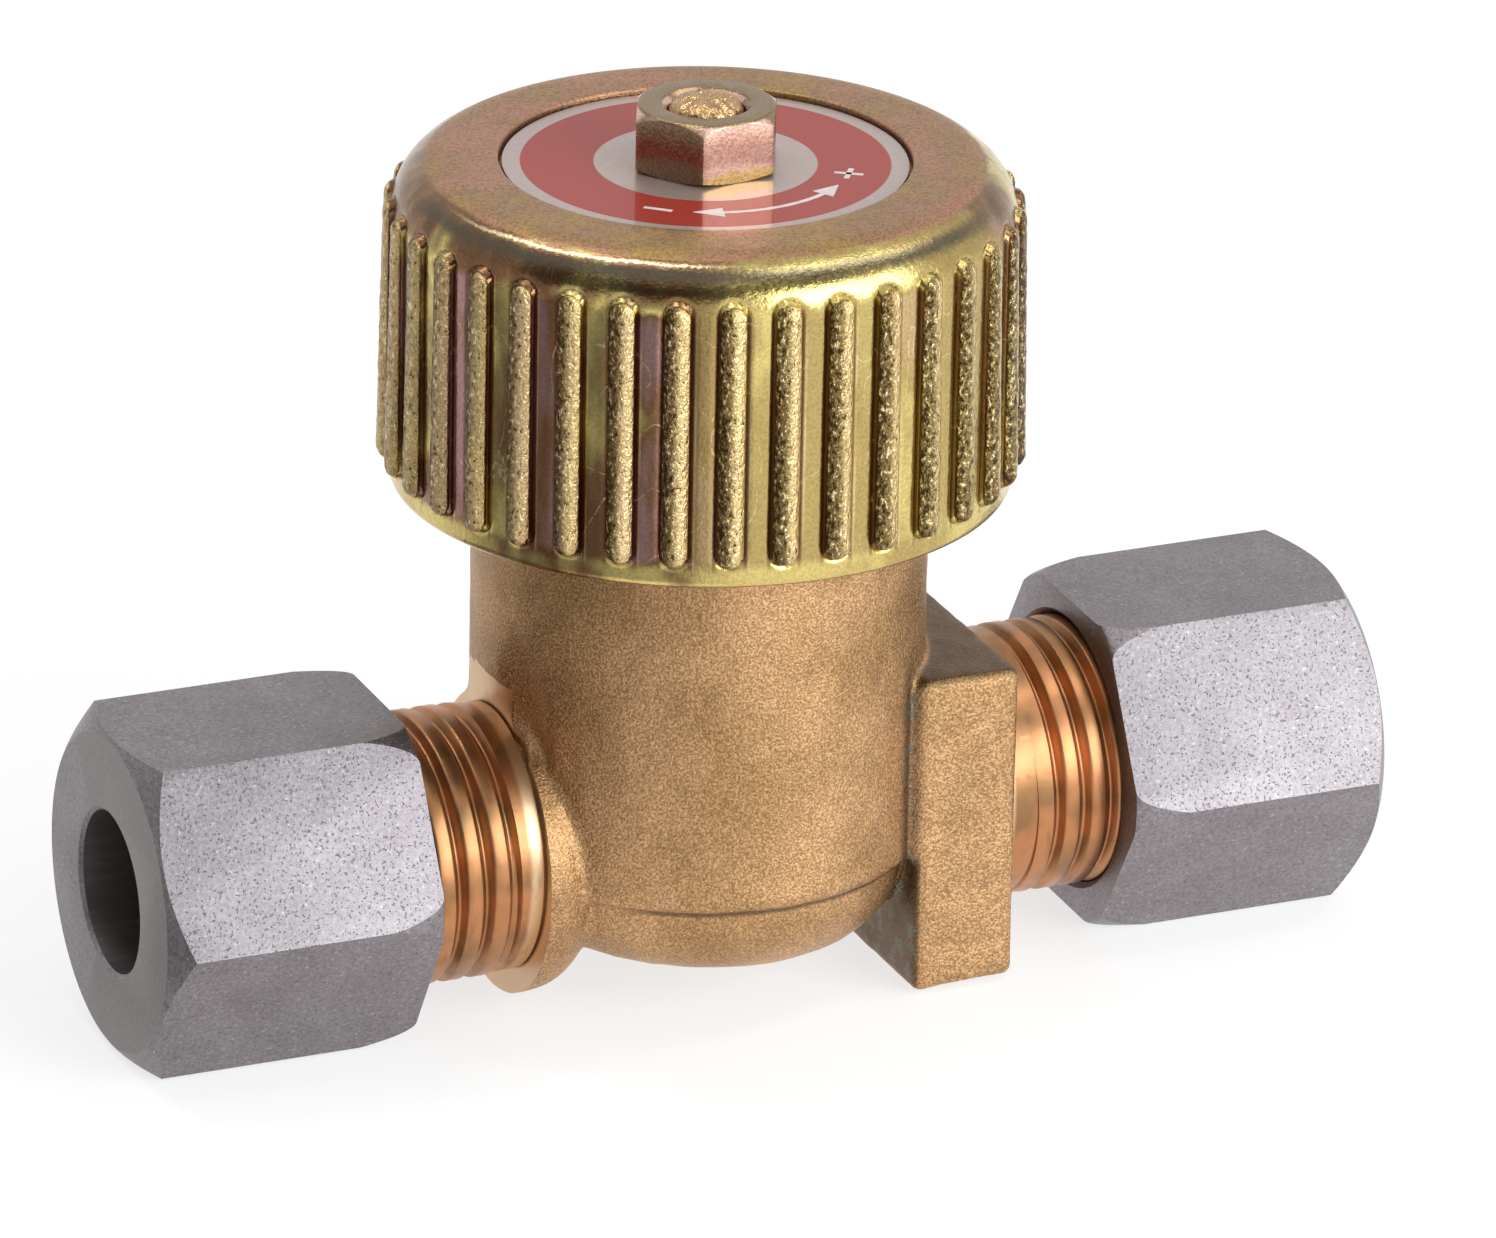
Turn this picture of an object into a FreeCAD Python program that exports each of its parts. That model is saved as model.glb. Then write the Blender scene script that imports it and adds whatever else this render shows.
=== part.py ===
import FreeCAD, Part
import math
import os

# Shut-off valve for 8 mm tube with a cutting-ring joint at both ends.
# Millimetres, +Z up along the spindle, +X along the pipe axis.
# The origin is the centre of the body's flat underside, on the spindle axis.
# The valve is shut at rest, and both union nuts are screwed on by hand, the right one not quite home.

# Spanner size of the union nuts
spanner_size = 17.0

# Body casting
barrel_radius = 11.75
pipe_axis_height = 6.0
bowl_inset = 3.75
barrel_edge_drop = 1.2
bowl_step = 0.4
block_length = 4.85
block_width = 17.4
block_edge_radius = 0.8
block_reach = 2.35
collar_face_inset = 0.55
collar_radius = 7.9
collar_length = 3.8
collar_face_radius = 0.5
collar_back_radius = 2.6
collar_offset_y = -0.55
collar_offset_z = -0.5
facing_radius = 9.1
bowl_overlap = 1.0

# Threaded stubs, the same on both ends
tube_radius = 4.0
tube_clearance = 0.05
stub_length = 12.0
stub_thread_radius = 7.1
relief_radius = 6.4
relief_length = 2.0
stub_root = 1.0
stub_end_chamfer = 0.7
cone_mouth_radius = 5.0
cone_half_angle = 12.0
tube_stop_depth = 10.0

# Flow passages and seat
channel_radius = 2.5
web_thickness = 1.0
seat_bore_radius = 3.0
seat_land_width = 1.0
seat_land_height = 0.4
well_depth_below_axis = 1.8
outlet_radius = 2.3
outlet_rise = 5.8
outlet_reach = 8.0
outlet_start_inset = 0.6
channel_overlap = 1.0
tool_overrun = 1.0
edge_tolerance = 0.01
cavity_radius = 8.0
cavity_depth = 18.5

# Bonnet and its gasket
bonnet_thread_radius = 8.5
bonnet_thread_clearance = 0.05
bonnet_plug_length = 7.0
bonnet_thread_lead = 0.5
body_thread_runout = 0.6
gasket_thickness = 0.5
gasket_width = 2.0
bonnet_hex_flats = 20.0
bonnet_hex_height = 3.5
bonnet_hex_chamfer = 0.5
bonnet_neck_radius = 6.4
bonnet_neck_height = 3.8
backseat_web = 1.2

# Spindle, its seal pack and the gland nut
spindle_thread_radius = 3.95
spindle_thread_clearance = 0.05
spindle_thread_lead = 0.6
spindle_pitch = 1.5
opening_turns = 2.0
opening_clearance = 0.1
shaft_radius = 2.75
shaft_clearance = 0.05
o_ring_section = 1.5
o_ring_clearance = 0.02
spacer_thickness = 0.8
gland_plug_length = 1.2
gland_thread_clearance = 0.05
gland_hex_flats = 10.0
gland_hex_height = 1.5
gland_head_gap = 0.2
square_flats = 4.2
square_clearance = 0.03
square_top_gap = 0.2
stud_radius = 1.98
stud_end_shoulder = 0.2
stud_end_rise = 0.5
stud_end_rim = 1.55
stud_end_rim_rise = 0.25
stud_end_flat_radius = 0.93

# Disc holder, rubber seal and what joins them to the spindle
seal_radius = 4.6
seal_thickness = 1.6
seal_pocket_clearance = 0.05
holder_wall = 0.55
holder_lip_gap = 0.3
holder_web = 1.3
holder_neck_radius = 4.2
holder_chamfer = 0.4
foot_radius = 2.0
foot_chamfer = 0.4
foot_clearance = 0.1
foot_end_gap = 0.05
foot_pocket_depth = 4.2
foot_ring_wire = 0.35
foot_ring_height = 1.8
foot_groove_gap = 0.12
foot_thread_gap = 0.5
seal_washer_radius = 2.3
seal_washer_thickness = 0.4
seal_screw_radius = 1.25
seal_screw_head_radius = 2.0
seal_screw_head_height = 0.8
seal_screw_head_edge = 0.3
seal_screw_slot_width = 0.5
seal_screw_slot_depth = 0.4
seal_screw_depth = 0.9
seal_screw_end_gap = 0.1

# Handwheel, pressed from sheet
sheet = 1.2
skirt_clearance = 2.77
wall_flare = 0.26
rim_edge_radius = 0.45
cap_height = 17.3
shoulder_radius = 2.2
label_recess_radius = 10.55
label_recess_depth = 0.7
label_recess_wall = 1.05
rib_count = 36
rib_radius = 0.72
rib_sink = 0.05
rib_foot_height = 1.2
rib_head_drop = 2.5
rib_foot_taper = 0.6
rib_foot_tip = 0.3
rib_phase = 2.1
hub_radius = 5.2
hub_height = 2.3

# Label disc and handwheel nut
label_clearance = 0.19
label_thickness = 0.42
label_hole_clearance = 0.15
top_nut_flats = 7.0
top_nut_height = 3.2
top_nut_chamfer = 0.45
top_nut_face_inset = 0.05
top_nut_phase = 4.9
top_nut_mouth = 0.35
thread_gap = 0.02

# Union nuts
nut_length = 14.7
nut_engagement = 5.5
nut_wall = 3.6
nut_bore_clearance = 0.25
nut_mouth_chamfer = 0.2
nut_seat_rise = 1.75
nut_thread_clearance = 0.05
nut_thread_mouth = 0.6
nut_tube_face_radius = 8.3
nut_tube_corner_depth = 1.05
nut_thread_corner_width = 0.66
nut_thread_corner_depth = 2.8
left_nut_phase = 0.7
right_nut_phase = 1.3
right_nut_standoff = 0.38

# Cutting rings
ring_clearance = 0.05
ring_collar_radius = 5.5
ring_back_radius = 4.45
ring_collar_gap = 0.6
ring_nose_depth = 3.2

# Places that follow from the sizes above
corner = 1.0 / math.cos(math.radians(30.0))
underside_radius = barrel_radius - bowl_step - bowl_inset
block_end_x = barrel_radius + block_reach
collar_face_x = collar_face_inset - barrel_radius
stub_bore_radius = tube_radius + tube_clearance
cavity_floor = pipe_axis_height + channel_radius + web_thickness
seat_top = cavity_floor + seat_land_height
body_top = cavity_floor + cavity_depth
bonnet_seat = body_top + gasket_thickness
bonnet_neck_base = bonnet_seat + bonnet_hex_height
bonnet_top = bonnet_neck_base + bonnet_neck_height
bonnet_foot = body_top - bonnet_plug_length
seal_chamber_depth = 2.0 * o_ring_section + spacer_thickness + gland_plug_length
seal_chamber_floor = bonnet_top - seal_chamber_depth
seal_chamber_radius = shaft_radius + 2.0 * o_ring_clearance + o_ring_section
backseat = seal_chamber_floor - backseat_web
opening_travel = spindle_pitch * opening_turns
spindle_thread_top = backseat - opening_travel - opening_clearance
gland_top = bonnet_top + gland_hex_height
shaft_top = gland_top + gland_head_gap
cap_floor_underside = shaft_top + hub_height
cap_floor = cap_floor_underside + sheet
cap_top = cap_floor + label_recess_depth
cap_foot = cap_top - cap_height
label_top = cap_floor + label_thickness
top_nut_top = label_top + top_nut_height
seal_top = seat_top + seal_thickness
holder_foot = seat_top + holder_lip_gap
holder_floor = seal_top + holder_web
holder_top = holder_floor + foot_pocket_depth
holder_radius = seal_radius + seal_pocket_clearance + holder_wall
foot_bottom = holder_floor + foot_end_gap
foot_ring_level = holder_floor + foot_ring_height
spindle_thread_foot = holder_top + foot_thread_gap
cap_radius = barrel_radius + skirt_clearance + sheet
rim_radius = cap_radius + wall_flare
wall_top = cap_top - shoulder_radius
wall_foot = cap_foot + rim_edge_radius
nut_inner_end = stub_length - nut_engagement
nut_outer_end = nut_inner_end + nut_length
nut_seat_start = nut_outer_end - nut_wall
nut_bore_radius = tube_radius + nut_bore_clearance
nut_thread_bore = stub_thread_radius + nut_thread_clearance
nut_corner_radius = 0.5 * spanner_size * corner
nut_thread_face_radius = nut_corner_radius - nut_thread_corner_width


class SpindleOutline:
    """A closed outline in the half-plane of the spindle axis: radius outward, height up."""

    def __init__(self, radius, height):
        self.start = (radius, height)
        self.at = self.start
        self.edges = []

    def point(self, radius, height):
        return FreeCAD.Vector(radius, 0.0, height)

    def line(self, radius, height):
        self.edges.append(Part.LineSegment(self.point(*self.at), self.point(radius, height)).toShape())
        self.at = (radius, height)
        return self

    def arc(self, centre, radius, start_angle, end_angle):
        spots = []
        for angle in (start_angle, 0.5 * (start_angle + end_angle), end_angle):
            turn = math.radians(angle)
            spots.append((centre[0] + radius * math.cos(turn), centre[1] + radius * math.sin(turn)))
        self.edges.append(Part.Arc(*[self.point(*spot) for spot in spots]).toShape())
        self.at = spots[-1]
        return self

    def rounding(self, corner, end):
        """A parabola from here to the end, tangent at both ends to the lines through the corner."""
        curve = Part.BezierCurve()
        curve.setPoles([self.point(*self.at), self.point(*corner), self.point(*end)])
        self.edges.append(curve.toShape())
        self.at = end
        return self

    def solid(self):
        self.line(*self.start)
        face = Part.Face(Part.Wire(self.edges))
        return face.revolve(FreeCAD.Vector(0, 0, 0), FreeCAD.Vector(0, 0, 1), 360)


class PipeOutline(SpindleOutline):
    """A closed outline in the half-plane of the pipe axis, measured outward from a shoulder."""

    def __init__(self, side, shoulder_x, reach, radius):
        self.side = side
        self.shoulder_x = shoulder_x
        super().__init__(reach, radius)

    def point(self, reach, radius):
        return FreeCAD.Vector(self.shoulder_x + self.side * reach, 0.0, pipe_axis_height + radius)

    def solid(self):
        self.line(*self.start)
        face = Part.Face(Part.Wire(self.edges))
        return face.revolve(FreeCAD.Vector(0, 0, pipe_axis_height), FreeCAD.Vector(1, 0, 0), 360)


def upright_cylinder(radius, low, high):
    return Part.makeCylinder(radius, high - low, FreeCAD.Vector(0, 0, low))


def upright_ring(outer, inner, low, high):
    return upright_cylinder(outer, low, high).cut(upright_cylinder(inner, low, high))


def upright_hexagon(flats, low, high, phase):
    """A hexagonal prism on the spindle axis, its first corner at the phase angle."""
    points = []
    for step in range(7):
        angle = math.radians(phase + 60.0 * step)
        radius = 0.5 * flats * corner
        points.append(FreeCAD.Vector(radius * math.cos(angle), radius * math.sin(angle), low))
    return Part.Face(Part.makePolygon(points)).extrude(FreeCAD.Vector(0, 0, high - low))


def upright_square(flats, low, high):
    return Part.makeBox(flats, flats, high - low, FreeCAD.Vector(-0.5 * flats, -0.5 * flats, low))


def stub_solid(side, shoulder_x):
    """The turned stub: relief groove, thread at full diameter and chamfered end."""
    outline = PipeOutline(side, shoulder_x, -stub_root, 0.0)
    outline.line(-stub_root, relief_radius)
    outline.line(relief_length, relief_radius)
    outline.line(relief_length + stub_thread_radius - relief_radius, stub_thread_radius)
    outline.line(stub_length - stub_end_chamfer, stub_thread_radius)
    outline.line(stub_length, stub_thread_radius - stub_end_chamfer)
    outline.line(stub_length, 0.0)
    return outline.solid()


def socket_cut(side, shoulder_x, inner_x):
    """The tube socket from the stub's end: cone, tube bore and flow bore up to inner_x."""
    slope = math.tan(math.radians(cone_half_angle))
    cone_depth = (cone_mouth_radius - stub_bore_radius) / slope
    inner_reach = side * (inner_x - shoulder_x)
    outline = PipeOutline(side, shoulder_x, stub_length + tool_overrun, 0.0)
    outline.line(stub_length + tool_overrun, cone_mouth_radius + tool_overrun * slope)
    outline.line(stub_length - cone_depth, stub_bore_radius)
    outline.line(stub_length - tube_stop_depth, stub_bore_radius)
    outline.line(stub_length - tube_stop_depth, channel_radius)
    outline.line(inner_reach, channel_radius)
    outline.line(inner_reach, 0.0)
    return outline.solid()


def bowl_solid():
    """The shallow bowl that closes the barrel from below."""
    edge = pipe_axis_height - barrel_edge_drop
    rim = barrel_radius - bowl_step
    sag = rim - underside_radius
    radius = (sag ** 2 + edge ** 2) / (2.0 * sag)
    sweep = math.degrees(math.atan2(edge, radius - sag))
    outline = SpindleOutline(0.0, 0.0)
    outline.line(underside_radius, 0.0)
    outline.arc((rim - radius, edge), radius, -sweep, 0.0)
    outline.line(rim, edge + bowl_overlap)
    outline.line(0.0, edge + bowl_overlap)
    return outline.solid()


def valve_body():
    barrel = upright_cylinder(barrel_radius, pipe_axis_height - barrel_edge_drop, body_top)
    half = 0.5 * block_width
    block = Part.makeBox(
        block_length,
        block_width,
        block_width,
        FreeCAD.Vector(block_end_x - block_length, -half, pipe_axis_height - half),
    )
    block = block.makeFillet(block_edge_radius, block.Edges)
    collar = Part.makeCylinder(
        collar_radius,
        collar_length,
        FreeCAD.Vector(collar_face_x, collar_offset_y, pipe_axis_height + collar_offset_z),
        FreeCAD.Vector(1, 0, 0),
    )
    collar_back_x = collar_face_x + collar_length
    for place, radius in ((collar_face_x, collar_face_radius), (collar_back_x, collar_back_radius)):
        rim = [edge for edge in collar.Edges if abs(edge.BoundBox.Center.x - place) < edge_tolerance]
        collar = collar.makeFillet(radius, rim)
    body = barrel.fuse([bowl_solid(), block, collar])
    facing = Part.makeCylinder(
        facing_radius,
        barrel_radius,
        FreeCAD.Vector(collar_face_x - barrel_radius, 0, pipe_axis_height),
        FreeCAD.Vector(1, 0, 0),
    )
    body = body.cut(facing)
    body = body.fuse([stub_solid(-1, collar_face_x), stub_solid(1, block_end_x)])

    cavity = upright_cylinder(cavity_radius, cavity_floor, body_top + tool_overrun)
    land = upright_cylinder(seat_bore_radius + seat_land_width, cavity_floor, seat_top)
    body_thread_radius = bonnet_thread_radius + bonnet_thread_clearance
    thread_low = bonnet_foot - body_thread_runout
    threaded = upright_cylinder(body_thread_radius, thread_low, body_top + tool_overrun)
    well_floor = pipe_axis_height - well_depth_below_axis
    well = upright_cylinder(seat_bore_radius, well_floor, seat_top + tool_overrun)
    inlet = socket_cut(-1, collar_face_x, channel_overlap - seat_bore_radius)
    outlet_x = block_end_x + stub_length - tube_stop_depth
    outlet = socket_cut(1, block_end_x, outlet_x - channel_overlap)
    rise = FreeCAD.Vector(-outlet_reach, 0, outlet_rise)
    start = FreeCAD.Vector(outlet_x - outlet_start_inset, 0, pipe_axis_height)
    sloped = Part.makeCylinder(outlet_radius, rise.Length, start, rise)
    cavity = cavity.cut(land)
    return body.cut([cavity, threaded, well, inlet, outlet, sloped])


def bonnet():
    bore = spindle_thread_radius + spindle_thread_clearance
    outline = SpindleOutline(bore, bonnet_foot)
    outline.line(bonnet_thread_radius - bonnet_thread_lead, bonnet_foot)
    outline.line(bonnet_thread_radius, bonnet_foot + bonnet_thread_lead)
    outline.line(bonnet_thread_radius, bonnet_neck_base)
    outline.line(bonnet_neck_radius, bonnet_neck_base)
    outline.line(bonnet_neck_radius, bonnet_top)
    outline.line(seal_chamber_radius, bonnet_top)
    outline.line(seal_chamber_radius, seal_chamber_floor)
    outline.line(shaft_radius + shaft_clearance, seal_chamber_floor)
    outline.line(shaft_radius + shaft_clearance, backseat)
    outline.line(bore, backseat)
    turned = outline.solid()
    flange = upright_hexagon(bonnet_hex_flats, bonnet_seat, bonnet_neck_base, 0.0)
    reach = 0.5 * bonnet_hex_flats * corner
    root = bonnet_thread_radius - bonnet_thread_lead
    bevel = SpindleOutline(root, bonnet_seat)
    bevel.line(reach, bonnet_seat)
    bevel.line(reach, bonnet_neck_base - bonnet_hex_chamfer)
    bevel.line(0.5 * bonnet_hex_flats, bonnet_neck_base)
    bevel.line(root, bonnet_neck_base)
    return turned.fuse(flange.common(bevel.solid())).removeSplitter()


def bonnet_gasket():
    inner = bonnet_thread_radius + bonnet_thread_clearance
    return upright_ring(inner + gasket_width, inner, body_top, bonnet_seat)


def stem_o_ring(low):
    middle = shaft_radius + o_ring_clearance + 0.5 * o_ring_section
    return Part.makeTorus(middle, 0.5 * o_ring_section, FreeCAD.Vector(0, 0, low + 0.5 * o_ring_section))


def stem_seal_spacer():
    low = seal_chamber_floor + o_ring_section
    outer = seal_chamber_radius - gland_thread_clearance
    return upright_ring(outer, shaft_radius + shaft_clearance, low, low + spacer_thickness)


def gland_nut():
    plug_radius = seal_chamber_radius - gland_thread_clearance
    bore = shaft_radius + shaft_clearance
    plug = upright_cylinder(plug_radius, bonnet_top - gland_plug_length, bonnet_top)
    head = upright_hexagon(gland_hex_flats, bonnet_top, gland_top, 0.0)
    return plug.fuse(head).cut(upright_cylinder(bore, bonnet_top - gland_plug_length, gland_top))


def spindle():
    """Foot, thread, shaft and M4 end as one turned bar, with a milled square below the stud."""
    neck = foot_radius - foot_groove_gap - foot_ring_wire
    groove = foot_ring_wire + foot_groove_gap
    outline = SpindleOutline(0.0, foot_bottom)
    outline.line(foot_radius - foot_chamfer, foot_bottom)
    outline.line(foot_radius, foot_bottom + foot_chamfer)
    outline.line(foot_radius, foot_ring_level - groove)
    outline.line(neck, foot_ring_level - groove)
    outline.line(neck, foot_ring_level + groove)
    outline.line(foot_radius, foot_ring_level + groove)
    outline.line(foot_radius, spindle_thread_foot)
    outline.line(spindle_thread_radius - spindle_thread_lead, spindle_thread_foot)
    outline.line(spindle_thread_radius, spindle_thread_foot + spindle_thread_lead)
    outline.line(spindle_thread_radius, spindle_thread_top)
    outline.line(shaft_radius, spindle_thread_top)
    outline.line(shaft_radius, shaft_top)
    outline.line(0.0, shaft_top)
    bar = outline.solid()
    square_top = cap_floor - square_top_gap
    square = upright_square(square_flats, shaft_top, square_top)
    square = square.common(upright_cylinder(shaft_radius, shaft_top, square_top))
    stud = SpindleOutline(0.0, square_top)
    stud.line(stud_radius, square_top)
    stud.line(stud_radius, top_nut_top - stud_end_shoulder)
    stud.line(stud_end_rim, top_nut_top + stud_end_rim_rise)
    stud.line(stud_end_flat_radius, top_nut_top + stud_end_rise)
    stud.line(0.0, top_nut_top + stud_end_rise)
    return bar.fuse([square, stud.solid()])


def disc_holder():
    pocket = seal_radius + seal_pocket_clearance
    foot_bore = foot_radius + foot_clearance
    groove = foot_ring_wire + foot_groove_gap
    screw_bore = seal_screw_radius + thread_gap
    screw_top = seal_top + seal_screw_depth
    outline = SpindleOutline(pocket, holder_foot)
    outline.line(holder_radius, holder_foot)
    outline.line(holder_radius, holder_floor - holder_chamfer)
    outline.line(holder_radius - holder_chamfer, holder_floor)
    outline.line(holder_neck_radius, holder_floor)
    outline.line(holder_neck_radius, holder_top)
    outline.line(foot_bore, holder_top)
    outline.line(foot_bore, foot_ring_level + groove)
    outline.line(foot_bore + groove, foot_ring_level + groove)
    outline.line(foot_bore + groove, foot_ring_level - groove)
    outline.line(foot_bore, foot_ring_level - groove)
    outline.line(foot_bore, holder_floor)
    outline.line(0.0, holder_floor)
    outline.line(0.0, screw_top)
    outline.line(screw_bore, screw_top)
    outline.line(screw_bore, seal_top)
    outline.line(pocket, seal_top)
    return outline.solid()


def foot_ring():
    """The wire ring that hangs the disc holder on the spindle's foot."""
    middle = foot_radius + 0.5 * foot_clearance
    return Part.makeTorus(middle, foot_ring_wire, FreeCAD.Vector(0, 0, foot_ring_level))


def seat_seal():
    return upright_ring(seal_radius, seal_screw_radius + thread_gap, seat_top, seal_top)


def seal_washer():
    low = seat_top - seal_washer_thickness
    return upright_ring(seal_washer_radius, seal_screw_radius + thread_gap, low, seat_top)


def seal_screw():
    head_top = seat_top - seal_washer_thickness
    head_foot = head_top - seal_screw_head_height
    head = upright_cylinder(seal_screw_head_radius, head_foot, head_top)
    middle = 0.5 * (head_foot + head_top)
    lower_edges = [edge for edge in head.Edges if edge.BoundBox.ZMax < middle]
    head = head.makeFillet(seal_screw_head_edge, lower_edges)
    slot = Part.makeBox(
        2.0 * seal_screw_head_radius,
        seal_screw_slot_width,
        seal_screw_slot_depth,
        FreeCAD.Vector(-seal_screw_head_radius, -0.5 * seal_screw_slot_width, head_foot),
    )
    shank_top = seal_top + seal_screw_depth - seal_screw_end_gap
    shank = upright_cylinder(seal_screw_radius, head_top, shank_top)
    return head.cut(slot).fuse(shank)


def cap_shell():
    """The pressed sheet: recessed middle, flat ring, rounded shoulder and flared wall."""
    inner_step = label_recess_radius + label_recess_wall
    flat_end = cap_radius - shoulder_radius
    outline = SpindleOutline(0.0, cap_floor)
    outline.line(label_recess_radius, cap_floor)
    outline.line(label_recess_radius, cap_top)
    outline.line(flat_end, cap_top)
    outline.arc((flat_end, wall_top), shoulder_radius, 90.0, 0.0)
    outline.line(rim_radius, wall_foot)
    outline.arc((rim_radius - rim_edge_radius, wall_foot), rim_edge_radius, 0.0, -90.0)
    outline.line(rim_radius - sheet, cap_foot)
    outline.line(cap_radius - sheet, wall_top)
    outline.arc((flat_end, wall_top), shoulder_radius - sheet, 0.0, 90.0)
    outline.line(inner_step, cap_top - sheet)
    outline.line(inner_step, cap_floor_underside)
    outline.line(0.0, cap_floor_underside)
    shell = outline.solid()
    flats = square_flats + 2.0 * square_clearance
    return shell.cut(upright_square(flats, shaft_top, cap_floor + tool_overrun))


def grip_rib():
    """One half-round pressed rib that follows the flared wall, at angle zero."""
    low = cap_foot + rib_foot_height + rib_foot_taper
    high = cap_top - rib_head_drop
    middle = cap_radius + rib_sink
    bar = Part.makeCylinder(rib_radius, high - low, FreeCAD.Vector(middle, 0, low))
    foot_end = FreeCAD.Vector(middle, 0, low - rib_foot_taper)
    foot = Part.makeCone(rib_foot_tip, rib_radius, rib_foot_taper, foot_end)
    head_centre = FreeCAD.Vector(middle, 0, high)
    head = Part.makeSphere(rib_radius, head_centre)
    rib = bar.fuse([foot, head])
    flare_angle = math.degrees(math.atan(wall_flare / (wall_top - wall_foot)))
    rib.rotate(head_centre, FreeCAD.Vector(0, 1, 0), -flare_angle)
    return rib


def handwheel():
    ribs = []
    for step in range(rib_count):
        rib = grip_rib()
        angle = rib_phase + 360.0 * step / rib_count
        rib.rotate(FreeCAD.Vector(0, 0, 0), FreeCAD.Vector(0, 0, 1), angle)
        ribs.append(rib)
    return cap_shell().fuse(ribs)


def handwheel_hub():
    collar = upright_cylinder(hub_radius, shaft_top, cap_floor_underside)
    flats = square_flats + 2.0 * square_clearance
    return collar.cut(upright_square(flats, shaft_top, cap_floor_underside))


def label_disc():
    hole = stud_radius + label_hole_clearance
    return upright_ring(label_recess_radius - label_clearance, hole, cap_floor, label_top)


def handwheel_nut():
    hexagon = upright_hexagon(top_nut_flats, label_top, top_nut_top, top_nut_phase)
    reach = 0.5 * top_nut_flats * corner
    face = 0.5 * top_nut_flats - top_nut_face_inset
    hole = stud_radius + thread_gap
    outline = SpindleOutline(hole, label_top)
    outline.line(face, label_top)
    outline.line(reach, label_top + 0.5 * top_nut_chamfer)
    outline.line(reach, top_nut_top - top_nut_chamfer)
    outline.line(face, top_nut_top)
    outline.line(hole + top_nut_mouth, top_nut_top)
    outline.line(hole, top_nut_top - top_nut_mouth)
    return hexagon.common(outline.solid())


def union_nut(side, shoulder_x, phase):
    """Hexagon nut on a stub: tube bore, 45 degree seat for the ring, thread at full diameter."""
    reach = nut_corner_radius
    middle = 0.5 * (nut_thread_face_radius + reach)
    seat_end = nut_seat_start - nut_seat_rise
    outline = PipeOutline(side, shoulder_x, nut_outer_end, nut_bore_radius + nut_mouth_chamfer)
    outline.line(nut_outer_end, nut_tube_face_radius)
    outline.line(nut_outer_end - nut_tube_corner_depth, reach)
    outline.line(nut_inner_end + nut_thread_corner_depth, reach)
    outline.rounding((nut_inner_end, middle), (nut_inner_end, nut_thread_face_radius))
    outline.line(nut_inner_end, nut_thread_bore + nut_thread_mouth)
    outline.line(nut_inner_end + nut_thread_mouth, nut_thread_bore)
    outline.line(seat_end, nut_thread_bore)
    outline.line(seat_end, nut_bore_radius + nut_seat_rise)
    outline.line(nut_seat_start, nut_bore_radius)
    outline.line(nut_outer_end - nut_mouth_chamfer, nut_bore_radius)
    turned = outline.solid()
    near = min(nut_inner_end * side, nut_outer_end * side) + shoulder_x
    points = []
    for step in range(7):
        angle = math.radians(phase + 60.0 * step)
        across = reach * math.cos(angle)
        points.append(FreeCAD.Vector(near, across, pipe_axis_height + reach * math.sin(angle)))
    prism = Part.Face(Part.makePolygon(points)).extrude(FreeCAD.Vector(nut_length, 0, 0))
    return prism.common(turned)


def cutting_ring(side, shoulder_x):
    """The ring between the nut's 45 degree seat and the stub's cone."""
    slope = math.tan(math.radians(cone_half_angle))
    seat_offset = nut_seat_start + nut_bore_radius - ring_clearance * math.sqrt(2.0)
    nose_radius = cone_mouth_radius - ring_clearance / math.cos(math.radians(cone_half_angle))
    outline = PipeOutline(side, shoulder_x, stub_length - ring_nose_depth, stub_bore_radius)
    outline.line(stub_length - ring_nose_depth, nose_radius - ring_nose_depth * slope)
    outline.line(stub_length, nose_radius)
    outline.line(stub_length + ring_collar_gap, nose_radius)
    outline.line(stub_length + ring_collar_gap, ring_collar_radius)
    outline.line(seat_offset - ring_collar_radius, ring_collar_radius)
    outline.line(seat_offset - ring_back_radius, ring_back_radius)
    outline.line(seat_offset - ring_back_radius, stub_bore_radius)
    return outline.solid()


def write_parts():
    parts = {
        "valve_body": valve_body(),
        "bonnet": bonnet(),
        "bonnet_gasket": bonnet_gasket(),
        "stem_o_ring_lower": stem_o_ring(seal_chamber_floor),
        "stem_seal_spacer": stem_seal_spacer(),
        "stem_o_ring_upper": stem_o_ring(seal_chamber_floor + o_ring_section + spacer_thickness),
        "gland_nut": gland_nut(),
        "spindle": spindle(),
        "disc_holder": disc_holder(),
        "foot_ring": foot_ring(),
        "seat_seal": seat_seal(),
        "seal_washer": seal_washer(),
        "seal_screw": seal_screw(),
        "handwheel": handwheel(),
        "handwheel_hub": handwheel_hub(),
        "label_disc": label_disc(),
        "handwheel_nut": handwheel_nut(),
        "union_nut_left": union_nut(-1, collar_face_x, left_nut_phase),
        "union_nut_right": union_nut(1, block_end_x + right_nut_standoff, right_nut_phase),
        "cutting_ring_left": cutting_ring(-1, collar_face_x),
        "cutting_ring_right": cutting_ring(1, block_end_x + right_nut_standoff),
    }
    os.makedirs("parts", exist_ok=True)
    for name, shape in parts.items():
        shape.exportStep(f"parts/{name}.step")
        box = shape.BoundBox
        print(
            name,
            "solids", len(shape.Solids),
            "valid", shape.isValid(),
            "volume", round(shape.Volume, 2),
            "z", round(box.ZMin, 2), round(box.ZMax, 2),
            "x", round(box.XMin, 2), round(box.XMax, 2),
            "y", round(box.YMin, 2), round(box.YMax, 2),
        )


write_parts()
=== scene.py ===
"""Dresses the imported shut-off valve in brass, grey zinc and yellow chromate, in the frame of its solids."""

import logging
import math
from collections.abc import Callable, Iterator, Sequence
from contextlib import contextmanager
from dataclasses import dataclass
from enum import Enum

import bpy
from mathutils import Matrix, Vector, noise


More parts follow.
